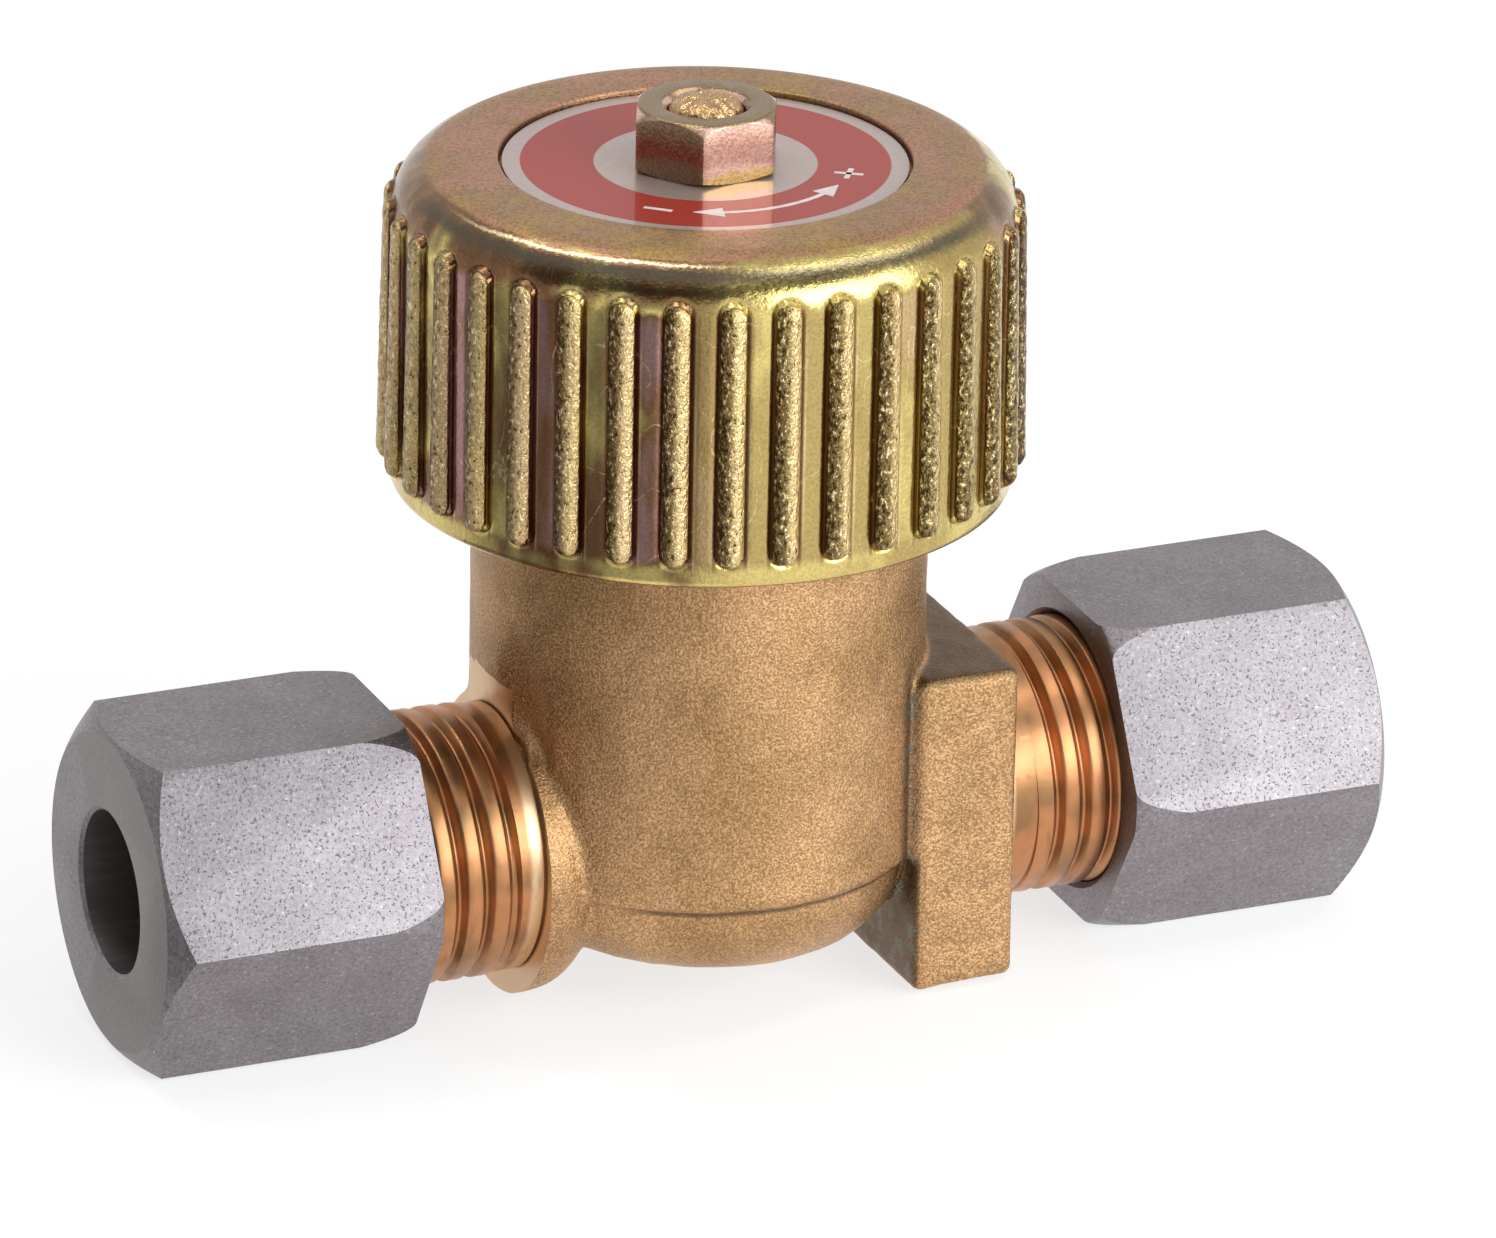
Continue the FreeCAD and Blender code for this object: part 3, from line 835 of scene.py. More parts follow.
@dataclass(frozen=True)
class YellowChromate:
    """Iridescent yellow chromate on pressed sheet: matt brown ring, glossy flats, hammered ribs, laid over
    with painted light and shade.

    Its spans are places in millimetres, its ways level directions from the spindle axis that place the
    painted light and shade.
    """

    name: str = "yellow_chromate"
    gold: Colour = tint(206, 186, 116)
    olive: Colour = tint(148, 132, 86)
    brown: Colour = tint(132, 98, 68)
    umber: Colour = tint(112, 82, 58)
    rose: Colour = tint(158, 122, 118)
    rib_foot_shade: Colour = tint(92, 52, 38)
    pit: Colour = tint(50, 38, 24)
    glint: Colour = tint(232, 214, 166)
    ring_brown: Colour = tint(153, 121, 88)
    ring_gold: Colour = tint(164, 133, 80)
    ring_rose: Colour = tint(167, 124, 100)
    shade: Colour = tint(90, 84, 72)
    highlight_tone: Colour = tint(226, 214, 172)
    rib_shaded: Colour = tint(106, 84, 50)
    rib_lit: Colour = tint(228, 198, 142)
    speckle: Stops = ((0.34, (0.66, 0.64, 0.62)), (0.6, (1.14, 1.14, 1.14)))
    ribs: int = 36
    phase: float = 2.1
    rib_pitch: float = 2.79
    wall: Span = (25.6, 39.2)
    foot: Span = (25.9, 25.3)
    ring_edge: Span = (14.85, 14.5)
    belt: Span = (15.2, 15.75)
    highlight_line: Span = (14.92, 15.05)
    rib_crown: Span = (16.08, 16.24)
    rib_height: Span = (25.2, 39.7)
    fraying: float = 0.35
    front: Way = (-0.402, -0.916, 0.0)
    front_left: Way = (-0.752, -0.66, 0.0)
    front_right: Way = (0.196, -0.981, 0.0)
    right: Way = (0.916, -0.402, 0.0)

    def across(self, board: Board) -> tuple[Socket, Socket]:
        """Where a point stands among the ribs.

        Args:
            board: the material's board.

        Returns:
            The number of its flat, and its way across the nearest rib in millimetres.
        """
        share = board.sloped(board.turn(), self.ribs / math.tau, -self.phase / 360.0 * self.ribs)
        nearest = board.minus(share, board.maths("ROUND", share))
        return board.maths("FLOOR", share), board.times(nearest, self.rib_pitch)

    def sheen(self, board: Board, flat: Socket, wall: Socket) -> Socket:
        """The wall's bands, each flat with its own hue, drifting along its height.

        Args:
            board: the material's board.
            flat: the number of the flat.
            wall: 1 on the wall and 0 off it.

        Returns:
            The colour's socket.
        """
        lot = board.wired("ShaderNodeTexWhiteNoise", {"W": flat}, "Value", noise_dimensions="1D")
        drift = board.grain(4.0, detail=3.0, rough=0.55, where=board.stretched((1.0, 1.0, 0.35)))
        mix = board.plus(board.times(board.sloped(lot, 0.5, -0.25), wall), drift)
        return board.ramp(mix, (
            (0.24, self.rose),
            (0.34, self.brown),
            (0.43, self.umber),
            (0.5, self.brown),
            (0.56, self.olive),
            (0.64, self.gold),
            (0.72, self.brown),
            (0.8, self.rose),
        ))

    def build(self) -> Material:
        """Wire the material.

        Returns:
            The material.
        """
        board = Board(self.name)
        _, _, z = board.axes()
        radius = board.radius()
        flat, across = self.across(board)
        reach = board.maths("ABSOLUTE", across)
        wall = board.window(z, self.wall, 0.5)
        fine = board.grain(0.16, rough=0.6)
        grit = board.grain(0.24, detail=3.0, rough=0.7, where=board.stretched((1.0, 1.0, 0.7)))
        patch = board.grain(5.5, detail=3.0, rough=0.55)

        ragged = board.sloped(board.plus(grit, patch), self.fraying * MM, radius)
        ring = board.step(ragged, self.ring_edge)
        # Painted reflection: a dark band on the shoulder toward the front, in the shade colour.
        in_front = board.step(board.toward(self.front), (1.0, 9.0))
        belt = board.times(board.window(ragged, self.belt, 0.2), in_front)
        # Painted highlight: a bright line round the shoulder toward the front left.
        on_left = board.step(board.toward(self.front_left), (11.5, 14.0))
        highlight_line = board.times(board.window(ragged, self.highlight_line, 0.06), on_left)
        # Painted highlight: the flats toward the front right are laid over with gold.
        lit_front_right = board.step(board.toward(self.front_right), (11.5, 14.5))
        foot = board.times(board.step(z, self.foot), board.between(patch, 0.4, 0.5))

        # Painted light and shade on the ribs: each rib is dark on one flank and lit on the other, the lit
        # flank dimmer on the side of the wheel away from the right; painted glints sparkle on its grit, and
        # its dark pits gather on the shaded flank.
        rib = board.times(board.step(radius, self.rib_crown), board.window(z, self.rib_height, 0.3))
        lit = board.sloped(board.step(board.toward(self.right), (-14.0, -4.0)), 0.4, 0.6)
        lit_flank = board.times(board.between(across, -0.25, 0.35), lit)
        rib_light_and_shade = board.blend(lit_flank, self.rib_shaded, self.rib_lit)
        sparkle = board.times(rib, board.between(grit, 0.56, 0.64))
        lean = board.sloped(board.times(across, lit), -0.12, 0.44)
        pits = board.times(board.maths("MULTIPLY", board.minus(lean, grit), 14.0, clamp=True), rib)

        # Painted shade in the crease round each rib's foot, and a painted highlight beside each rib's lit
        # edge.
        rib_foot_shade = board.times(board.between(reach, 0.64, 0.74), board.between(reach, 0.94, 0.84), wall)
        halo = board.times(board.between(across, 0.88, 0.93), board.between(across, 1.05, 0.99))
        halo = board.times(halo, wall, board.between(patch, 0.62, 0.38))
        swirl = board.grain(2.2, detail=0.0, where=board.stretched((1.0, 1.0, 0.6)))
        hair = board.between(board.maths("ABSOLUTE", board.minus(swirl, 0.52)), 0.006, 0.002)
        hair = board.times(hair, board.between(grit, 0.46, 0.52), board.minus(wall, rib, clamp=True))

        ring_tone = board.ramp(
            patch, ((0.36, self.ring_rose), (0.48, self.ring_brown), (0.62, self.ring_gold))
        )
        colour = board.coats(self.sheen(board, flat, wall), (lit_front_right, 0.55, self.gold))
        # Painted light and shade among these coats: the belt, the highlight line, the ribs' light and shade,
        # the shade at their feet, the halo, the sparkle and the pits on the shaded flank.
        colour = board.coats(
            board.blend(ring, colour, ring_tone),
            (foot, 0.8, self.gold),
            (belt, 0.85, self.shade),
            (highlight_line, 0.6, self.highlight_tone),
            (rib, 0.8, rib_light_and_shade),
            (rib_foot_shade, 0.75, self.rib_foot_shade),
            (halo, 0.35, self.glint),
            (sparkle, 0.8, self.glint),
            (pits, 0.9, self.pit),
            (hair, 0.4, self.glint),
        )
        speckled = board.speckled(colour, fine, self.speckle)

        gritty = board.times(rib, board.sloped(lit_flank, -0.3, 1.0))
        hammer = board.times(grit, board.sloped(gritty, 0.9, 0.1))
        sand = board.times(fine, board.sloped(ring, 0.7, 0.3))
        return board.finish(
            Base_Color=board.blend(board.sloped(ring, 0.5, 0.45), colour, speckled),
            Metallic=1.0,
            Roughness=board.sloped(ring, 0.24, board.sloped(belt, -0.05, 0.2)),
            Normal=board.relief(sand, 0.03, 0.8, board.relief(hammer, 0.2, 1.0)),
        )


@dataclass(frozen=True)
class ChromateBar:
    """The chromate on the top nut, coloured face by face as painted light and shade: every other face, the
    one to the front left among them, is a shaded brown, the others rose with gold lower down, and the top
    olive.
    """

    name: str = "chromate_bar"
    rose: Colour = tint(217, 180, 166)
    gold: Colour = tint(214, 182, 122)
    brown: Colour = tint(150, 124, 102)
    olive: Colour = tint(134, 112, 80)
    speckle: Stops = ((0.36, (0.78, 0.76, 0.74)), (0.6, (1.08, 1.08, 1.08)))
    gold_rise: Span = (42.9, 41.42)
    top_rise: Span = (44.5, 44.58)
    phase: float = -14.7
    roughness: float = 0.26

    def build(self) -> Material:
        """Wire the material.

        Returns:
            The material.
        """
        board = Board(self.name)
        _, _, z = board.axes()
        cloud = board.grain(1.6, detail=3.0, rough=0.55)
        fine = board.grain(0.16, rough=0.6)
        # Painted light and shade: brown on every other face, rose turning gold lower down on the rest, olive
        # on the top.
        sides = board.maths("SINE", board.sloped(board.turn(), 3.0, math.radians(self.phase)))
        low_share = board.plus(board.step(z, self.gold_rise), board.minus(cloud, 0.5))
        warm = board.blend(board.between(low_share, 0.4, 0.75), self.rose, self.gold)
        colour = board.blend(board.between(sides, -0.2, 0.2), self.brown, warm)
        colour = board.blend(board.step(z, self.top_rise), colour, self.olive)
        return board.finish(
            Base_Color=board.speckled(colour, fine, self.speckle),
            Metallic=1.0,
            Roughness=board.sloped(fine, 0.2, self.roughness - 0.1),
            Normal=board.relief(fine, 0.02, 0.6),
        )


@dataclass(frozen=True)
class LabelPrint:
    """Bare aluminium disc with one printed red band under a clear gloss coat."""

    name: str = "label_print"
    bare: Colour = tint(176, 158, 152)
    red: Colour = tint(150, 50, 40)
    band: Span = (5.7, 9.45)

    def build(self) -> Material:
        """Wire the material.

        Returns:
            The material.
        """
        board = Board(self.name)
        band = board.window(board.radius(), self.band, 0.04)
        bare = board.ramp(board.grain(0.25), ((0.3, dimmed(self.bare, 0.9)), (0.7, self.bare)))
        return board.finish(
            Base_Color=board.blend(band, bare, self.red),
            Metallic=board.sloped(band, -0.6, 0.6),
            Roughness=0.4,
            Specular_IOR_Level=0.05,
            Coat_Weight=0.4,
            Coat_Roughness=0.02,
        )


@dataclass(frozen=True)
class Plain:
    """A small or hidden piece's finish: one colour with a fine cloud in it, or hammered dents."""

    name: str
    colour: Colour
    metallic: float
    roughness: float
    dent_depth: float = 0.003

    def build(self) -> Material:
        """Wire the material.

        Returns:
            The material.
        """
        board = Board(self.name)
        cloud = board.grain(0.6, detail=3.0)
        return board.finish(
            Base_Color=board.ramp(cloud, ((0.3, dimmed(self.colour, 0.8)), (0.7, self.colour))),
            Metallic=self.metallic,
            Roughness=board.sloped(cloud, 0.15, self.roughness - 0.07),
            Normal=board.relief(board.grain(0.45, rough=0.6), self.dent_depth, 1.0),
        )


# Sub-assemblies, with all their sizes in millimetres and angles in degrees

@dataclass
class PipeLine:
    """The places along the pipe that the body and the nuts share."""

    axis_height: float = 6.0
    shoulders: Span = (-11.2, 14.1)
    stub_length: float = 12.0

    def shoulder(self, side: Side) -> float:
        """The shoulder that a stub grows from."""
        return side.pick(self.shoulders)


@dataclass
class ThreadedStub:
    """One threaded end of the body with its relief, lengths measured outward from the shoulder."""

    line: PipeLine
    side: Side
    pitch: float = 1.5
    crest_radius: float = 7.1
    root_radius: float = 6.62
    groove_radius: float = 6.7
    groove_length: float = 0.1
    groove_slope: float = 0.03
    strip_radius: float = 6.98
    strip_ends: Span = (0.87, 2.24)
    crest_places: Span = (1.26, 0.92)
    end_chamfer: float = 0.7
    root_depth: float = 1.0
    crest_room: float = 0.05
    run_out: float = 1.5
    strip_fade: float = 1.15
    steps: int = 112

    @property
    def strip_end(self) -> float:
        """Where the plain bright strip ends."""
        return self.side.pick(self.strip_ends)

    def ridge(self) -> list[Point]:
        """One pitch of the thread from root to root, with a broad flat crest and a narrow groove.

        Returns:
            Points of length and radius, in order.
        """
        depth = self.crest_radius - self.root_radius
        shares = ((0.0, 0.0), (0.05, 0.04), (0.09, 0.18), (0.2, 0.78), (0.24, 0.93), (0.3, 1.0), (0.5, 0.97),
                  (0.7, 1.0), (0.76, 0.93), (0.8, 0.78), (0.91, 0.18), (0.95, 0.04), (1.0, 0.0))
        return [(self.pitch * x, self.root_radius + depth * h) for x, h in shares]

    def rod(self) -> Piece:
        """A threaded rod longer than the stub, cut square at both ends.

        Returns:
            The rod, its axis on the x axis.
        """
        lead_turns, spare_turns = 5, 8
        start = self.side.pick(self.crest_places) - 0.5 * self.pitch - lead_turns * self.pitch
        piece = draw_outline("stub_rod", [Vector((start + x, 0.0, radius)) for x, radius in self.ridge()])
        apply_modifier(
            piece,
            "SCREW",
            axis="X",
            screw_offset=self.pitch,
            iterations=math.ceil((self.line.stub_length + self.root_depth) / self.pitch) + spare_turns,
            steps=self.steps,
            render_steps=self.steps,
        )
        weld(piece)
        for place, outward in ((-self.root_depth, -1.0), (self.line.stub_length + 1.0, 1.0)):
            with editing(piece):
                bpy.ops.mesh.bisect(
                    plane_co=(place, 0.0, 0.0), plane_no=(outward, 0.0, 0.0), use_fill=True, clear_outer=True
                )
        weld(piece)
        return piece

    def envelope(self) -> Piece:
        """The stub's turned outline, without its thread.

        Returns:
            The solid that the rod is cut by.
        """
        end = self.line.stub_length
        crest = self.crest_radius + self.crest_room
        outline = [
            (-self.root_depth, 0.0),
            (-self.root_depth, self.groove_radius),
            (self.groove_length, self.groove_radius),
            (self.groove_length + self.groove_slope, self.strip_radius),
            (self.strip_end, self.strip_radius),
            (self.strip_end + self.run_out, crest),
            (end - self.end_chamfer, crest),
            (end, self.crest_radius - self.end_chamfer),
            (end, 0.0),
        ]
        return spin("stub_envelope", outline, self.steps, 0.0)

    def strip(self) -> Piece:
        """The plain turned strip that fills the thread's first grooves.

        Returns:
            The solid that the rod is joined with.
        """
        start, core = -self.root_depth + 0.1, self.groove_radius - 0.02
        stop = self.strip_end + self.strip_fade
        outline = [
            (start, 0.0),
            (start, core),
            (self.groove_length, core),
            (self.groove_length + self.groove_slope, self.strip_radius),
            (self.strip_end, self.strip_radius),
            (stop, self.root_radius - 0.1),
            (stop, 0.0),
        ]
        return spin("stub_strip", outline, self.steps, 0.0)

    def build(self) -> Piece:
        """Cut and join the stub and put it in its place on the body.

        Returns:
            The stub.
        """
        piece = self.rod()
        combine(piece, self.envelope(), Cut.INTERSECT)
        combine(piece, self.strip(), Cut.UNION)
        turn = Matrix.Rotation(self.side.pick((math.pi, 0.0)), 4, "Z")
        place = Matrix.Translation((self.line.shoulder(self.side), 0.0, self.line.axis_height))
        piece.data.transform(place @ turn)
        return piece


@dataclass
class BodyCasting:
    """The cast body with its machined ends and bores, one piece."""

    line: PipeLine
    barrel_radius: float = 11.75
    barrel_foot: float = 4.8
    barrel_top: float = 28.0
    bowl_step: float = 0.6
    underside_radius: float = 7.6
    bowl_lean: float = 0.035
    block_width: float = 17.4
    block_length: float = 5.55
    block_overlap: float = 0.3
    block_edge: float = 0.35
    block_lift: Span = (0.12, 0.1)
    block_skew: float = 0.05
    collar_radius: float = 7.9
    collar_offset: Point = (0.15, -0.5)
    collar_profile: tuple[Point, ...] = (
        (-0.5, 0.0), (-0.5, 7.9), (0.2, 7.9), (0.9, 7.84), (1.5, 7.68), (2.1, 7.4), (2.6, 7.0), (3.0, 6.45),
        (3.3, 5.8), (3.5, 5.2), (3.5, 0.0),
    )
    facing_radius: float = 9.1
    facing_depth: float = 9.0
    top_cut_radius: float = 14.0
    top_cut_height: float = 3.0
    lump_radius: float = 0.55
    lump_ring: float = 7.5
    lump_height: float = 0.42
    lump_spread: Way = (1.5, 1.1, 1.0)
    lump_places: tuple[Point, ...] = (
        (-128, 0.7), (-100, 0.6), (-78, 0.8), (-66, 1.0), (-52, 0.9), (-38, 0.8), (60, 0.9), (150, 0.8),
    )
    press_middle: Point = (-3.4, 13.0)
    press_reach: float = 2.6
    press_depth: float = 0.75
    press_squash: float = 0.4
    press_behind: float = -8.0
    voxel: float = 0.25
    soften: int = 3
    wave_size: float = 1.6
    wave_height: float = 0.1
    tube_mouth: float = 5.0
    tube_bore: float = 4.05
    tube_stop: float = 2.0
    cone_angle: float = 12.0
    channel_radius: float = 2.5
    channel_ends: Span = (-9.2, 1.0)
    outlet_radius: float = 2.3
    outlet_run: Span = (-0.6, -8.6)
    outlet_rise: float = 5.8
    hollow: tuple[Point, ...] = (
        (0.0, 4.2), (3.0, 4.2), (3.0, 9.9), (4.0, 9.9), (4.0, 9.5), (8.0, 9.5), (8.0, 20.4), (8.55, 20.4),
        (8.55, 29.5), (0.0, 29.5),
    )

    @property
    def block_end(self) -> float:
        """Where the block ends on the right."""
        return self.line.shoulder(Side.RIGHT) + self.block_overlap

    def bowl(self) -> Piece:
        """The shallow bowl under the barrel.

        Returns:
            The bowl.
        """
        rim = self.barrel_radius - self.bowl_step
        sag = rim - self.underside_radius
        radius = (sag ** 2 + self.barrel_foot ** 2) / (2.0 * sag)
        sweep = math.degrees(math.atan2(self.barrel_foot, radius - sag))
        outline = [(0.0, 0.0)]
        outline += arc((rim - radius, self.barrel_foot), radius, -sweep, 0.0, 16)
        outline += [(rim, self.barrel_foot + 1.0), (0.0, self.barrel_foot + 1.0)]
        piece = spin("bowl", outline, 160)
        move_vertices(piece, self.leaning)
        return piece

    def leaning(self, spot: Vector) -> Vector:
        """Let the bowl's underside hang lower on the right, as the mould left it."""
        share = max(0.0, 1.0 - spot.z / self.barrel_foot)
        return Vector((spot.x, spot.y, spot.z - self.bowl_lean * spot.x * share))

    def block(self) -> Piece:
        """The square block at the right end.

        Returns:
            The block.
        """
        clear_selection()
        middle = (self.block_end - 0.5 * self.block_length, 0.0, self.line.axis_height)
        bpy.ops.mesh.primitive_cube_add(size=1.0, location=middle)
        piece = bpy.context.object
        piece.scale = (self.block_length, self.block_width, self.block_width)
        bpy.ops.object.transform_apply(location=True, rotation=False, scale=True)
        with editing(piece):
            bpy.ops.mesh.bevel(offset=self.block_edge, segments=3)
        move_vertices(piece, self.askew)
        return piece

    def askew(self, spot: Vector) -> Vector:
        """Lift the block a little and skew its lower edge.

        Args:
            spot: a place on the block.

        Returns:
            Where it goes.
        """
        low, high = self.block_lift
        start = self.block_end - self.block_length
        rise = high if spot.z > 0.0 else low + self.block_skew * (spot.x - start)
        return Vector((spot.x, spot.y, spot.z + rise))

    def collar(self) -> Piece:
        """The round rough collar at the left end, longer than its machined face and rounded behind.

        Returns:
            The collar.
        """
        face = self.line.shoulder(Side.LEFT)
        outline = [(face + x, radius) for x, radius in self.collar_profile]
        piece = spin("collar", outline, 96, self.line.axis_height)
        across, up = self.collar_offset
        piece.data.transform(Matrix.Translation((0.0, across, up)))
        return piece

    def lumps(self) -> list[Piece]:
        """The small rough lumps that the mould left round the bowl's foot.

        Returns:
            The lumps.
        """
        made = []
        for turn, share in self.lump_places:
            clear_selection()
            angle = math.radians(turn)
            place = (self.lump_ring * math.cos(angle), self.lump_ring * math.sin(angle), self.lump_height)
            bpy.ops.mesh.primitive_ico_sphere_add(
                subdivisions=3, radius=self.lump_radius * share, location=place
            )
            piece = bpy.context.object
            piece.scale = self.lump_spread
            bpy.ops.object.transform_apply(location=True, rotation=True, scale=True)
            made.append(piece)
        return made

    def pressed_in(self, spot: Vector) -> Vector:
        """Flatten the barrel a little beside the machined facet on its left.

        Args:
            spot: a place on the casting.

        Returns:
            Where it goes.
        """
        across, up = self.press_middle
        reach = math.hypot(spot.y - across, self.press_squash * (spot.z - up))
        if spot.x > self.press_behind or reach > self.press_reach:
            return spot
        share = 0.5 + 0.5 * math.cos(math.pi * reach / self.press_reach)
        return Vector((spot.x + self.press_depth * share, spot.y, spot.z))

    def rough_form(self) -> Piece:
        """Barrel, bowl, block and collar melted into one casting with soft edges.

        Returns:
            The casting before it is machined.
        """
        low, high = Vector((0, 0, self.barrel_foot)), Vector((0, 0, self.barrel_top + 1.0))
        barrel = cylinder("barrel", self.barrel_radius, low, high, 192)
        piece = join([barrel, self.bowl(), self.block(), self.collar(), *self.lumps()])
        apply_modifier(piece, "REMESH", mode="VOXEL", voxel_size=self.voxel)
        apply_modifier(piece, "SMOOTH", factor=0.5, iterations=self.soften)
        wave = bpy.data.textures.new("casting_wave", "CLOUDS")
        wave.noise_scale = self.wave_size
        apply_modifier(
            piece, "DISPLACE", texture=wave, texture_coords="LOCAL", strength=self.wave_height, mid_level=0.5
        )
        move_vertices(piece, self.pressed_in)
        return piece

    def socket(self, side: Side) -> Piece:
        """The tube socket with its cone, and the flow bore behind it.

        Args:
            side: the end of the body.

        Returns:
            The solid that is cut away.
        """
        slope = math.tan(math.radians(self.cone_angle))
        reach = self.line.stub_length
        inner = side.pick(self.channel_ends)
        steps = [
            (reach + 1.0, 0.0),
            (reach + 1.0, self.tube_mouth + slope),
            (reach - (self.tube_mouth - self.tube_bore) / slope, self.tube_bore),
            (self.tube_stop, self.tube_bore),
            (self.tube_stop, self.channel_radius),
            (inner, self.channel_radius),
            (inner, 0.0),
        ]
        shoulder = self.line.shoulder(side)
        outline = [(shoulder + side.value * x, radius) for x, radius in steps]
        return spin("socket", outline, 96, self.line.axis_height)

    def outlet(self) -> Piece:
        """The sloped bore from the right socket up into the hollow.

        Returns:
            The solid that is cut away.
        """
        end, height = self.line.shoulder(Side.RIGHT) + self.tube_stop, self.line.axis_height
        low, high = (end + run for run in self.outlet_run)
        start, stop = Vector((low, 0, height)), Vector((high, 0, height + self.outlet_rise))
        return cylinder("sloped", self.outlet_radius, start, stop, 48)

    def machined(self, spot: Vector) -> bool:
        """Whether a lathe or drill has cut the surface.

        Args:
            spot: a place on the body.

        Returns:
            True where it has.
        """
        height = self.line.axis_height
        from_pipe = math.hypot(spot.y, spot.z - height)
        if spot.x < self.line.shoulder(Side.LEFT) + 0.02:
            return from_pipe < self.facing_radius + 0.1
        if spot.x > self.block_end + 0.08:
            return from_pipe < self.collar_radius
        hollow = math.hypot(spot.x, spot.y) < self.facing_radius and spot.z > height - 1.9
        return from_pipe < self.tube_bore + 0.15 or hollow or spot.z > self.barrel_top - 0.02

    def build(self, cast: Material, turned: Material) -> None:
        """Cast, machine and finish the body.

        Args:
            cast: the casting's finish.
            turned: the finish of what a lathe has cut.
        """
        piece = self.rough_form()
        face, height = self.line.shoulder(Side.LEFT), self.line.axis_height
        outside, inside = Vector((face - self.facing_depth, 0, height)), Vector((face, 0, height))
        top, above = Vector((0, 0, self.barrel_top)), Vector((0, 0, self.top_cut_height))
        combine(piece, cylinder("facing", self.facing_radius, outside, inside, 160), Cut.DIFFERENCE)
        combine(piece, cylinder("top_facing", self.top_cut_radius, top, top + above, 64), Cut.DIFFERENCE)
        for side in Side:
            combine(piece, ThreadedStub(self.line, side).build(), Cut.UNION)
        cavity = spin("cavity", self.hollow, 96)
        for tool in (cavity, self.socket(Side.LEFT), self.socket(Side.RIGHT), self.outlet()):
            combine(piece, tool, Cut.DIFFERENCE)
        paint(piece, cast, turned)
        for facet in piece.data.polygons:
            facet.material_index = int(self.machined(facet.center))
        hand_over(piece, "body_casting", 38.0)
        seat(piece, "valve", "cast_brass", "valve_body")


@dataclass
class UnionNut:
    """One hexagon union nut; the right one stands a little off its home place."""

    line: PipeLine
    side: Side
    flats: float = 17.0
    length: float = 14.7
    engagement: float = 5.5
    standoffs: Span = (0.0, 0.38)
    phases: Span = (0.7, 1.3)
    bore_radius: float = 4.25
    bore_mouth: float = 0.2
    wall: float = 3.6
    seat_rise: float = 1.75
    thread_bore: float = 7.15
    thread_mouth: float = 0.3
    tube_face_radius: float = 8.3
    tube_corner_depth: float = 1.05
    thread_corner_width: float = 0.66
    thread_corner_depth: float = 2.8
    corner_room: float = 0.03
    rounding_steps: int = 12
    edge_radius: float = 0.12

    def outline(self) -> list[Point]:
        """The nut's turned outline, lengths measured outward from the shoulder.

        Returns:
            Points of length and radius, from the nut's outer end back to it.
        """
        inner = self.line.stub_length - self.engagement
        outer = inner + self.length
        reach = 0.5 * self.flats / HEXAGON_CORNER
        bed = outer - self.wall
        face = reach - self.thread_corner_width
        middle = 0.5 * (face + reach)
        rounding = []
        for step in range(self.rounding_steps + 1):
            share = 1.0 - step / self.rounding_steps
            back = 1.0 - share
            depth = self.thread_corner_depth * share * share
            radius = reach * share * share + 2.0 * middle * share * back + face * back ** 2
            rounding.append((inner + depth, radius))
        return [
            (outer, self.bore_radius + self.bore_mouth),
            (outer, self.tube_face_radius),
            (outer - self.tube_corner_depth, reach + self.corner_room),
            (inner + self.thread_corner_depth + 0.1, reach + self.corner_room),
            *rounding,
            (inner, self.thread_bore + self.thread_mouth),
            (inner + self.thread_mouth, self.thread_bore),
            (bed - self.seat_rise, self.thread_bore),
            (bed - self.seat_rise, self.bore_radius + self.seat_rise),
            (bed, self.bore_radius),
            (outer - self.bore_mouth, self.bore_radius),
        ]

    def build(self, finish: Material, worn: Material, inside: Material) -> None:
        """Cut the hexagon by the turned outline and round its edges.

        Args:
            finish: the grey zinc.
            worn: the rubbed zinc of the rounded edges.
            inside: the dark finish of the bore.
        """
        shoulder = self.line.shoulder(self.side) + self.side.value * self.side.pick(self.standoffs)
        height = self.line.axis_height
        outline = [(shoulder + self.side.value * x, radius) for x, radius in self.outline()]
        turned = spin("nut_outline", outline, 180, height)
        ends = [x for x, _ in outline]
        middle = Vector((0.5 * (max(ends) + min(ends)), 0.0, height))
        piece = hexagon(self.flats, max(ends) - min(ends), middle, 90.0)
        top = max(corner.co.z for corner in piece.data.vertices) - height
        phase = self.side.pick(self.phases) + (30.0 if top > 0.5 * self.flats + 0.1 else 0.0)
        turn = Matrix.Translation((0, 0, height)) @ Matrix.Rotation(math.radians(phase), 4, "X")
        piece.data.transform(turn @ Matrix.Translation((0, 0, -height)))
        combine(piece, turned, Cut.INTERSECT)
        weld(piece, MERGE_CUT)
        paint(piece, finish, worn, inside)
        round_edges(piece, self.edge_radius, 20.0, material=1)
        for facet in piece.data.polygons:
            from_pipe = math.hypot(facet.center.y, facet.center.z - height)
            if from_pipe < self.bore_radius + 0.04:
                facet.material_index = 2
        name = self.side.name.lower()
        hand_over(piece, f"{name}_union_nut", 40.0)
        seat(piece, f"nut_{name}", "zinc_steel", f"union_nut_{name}")


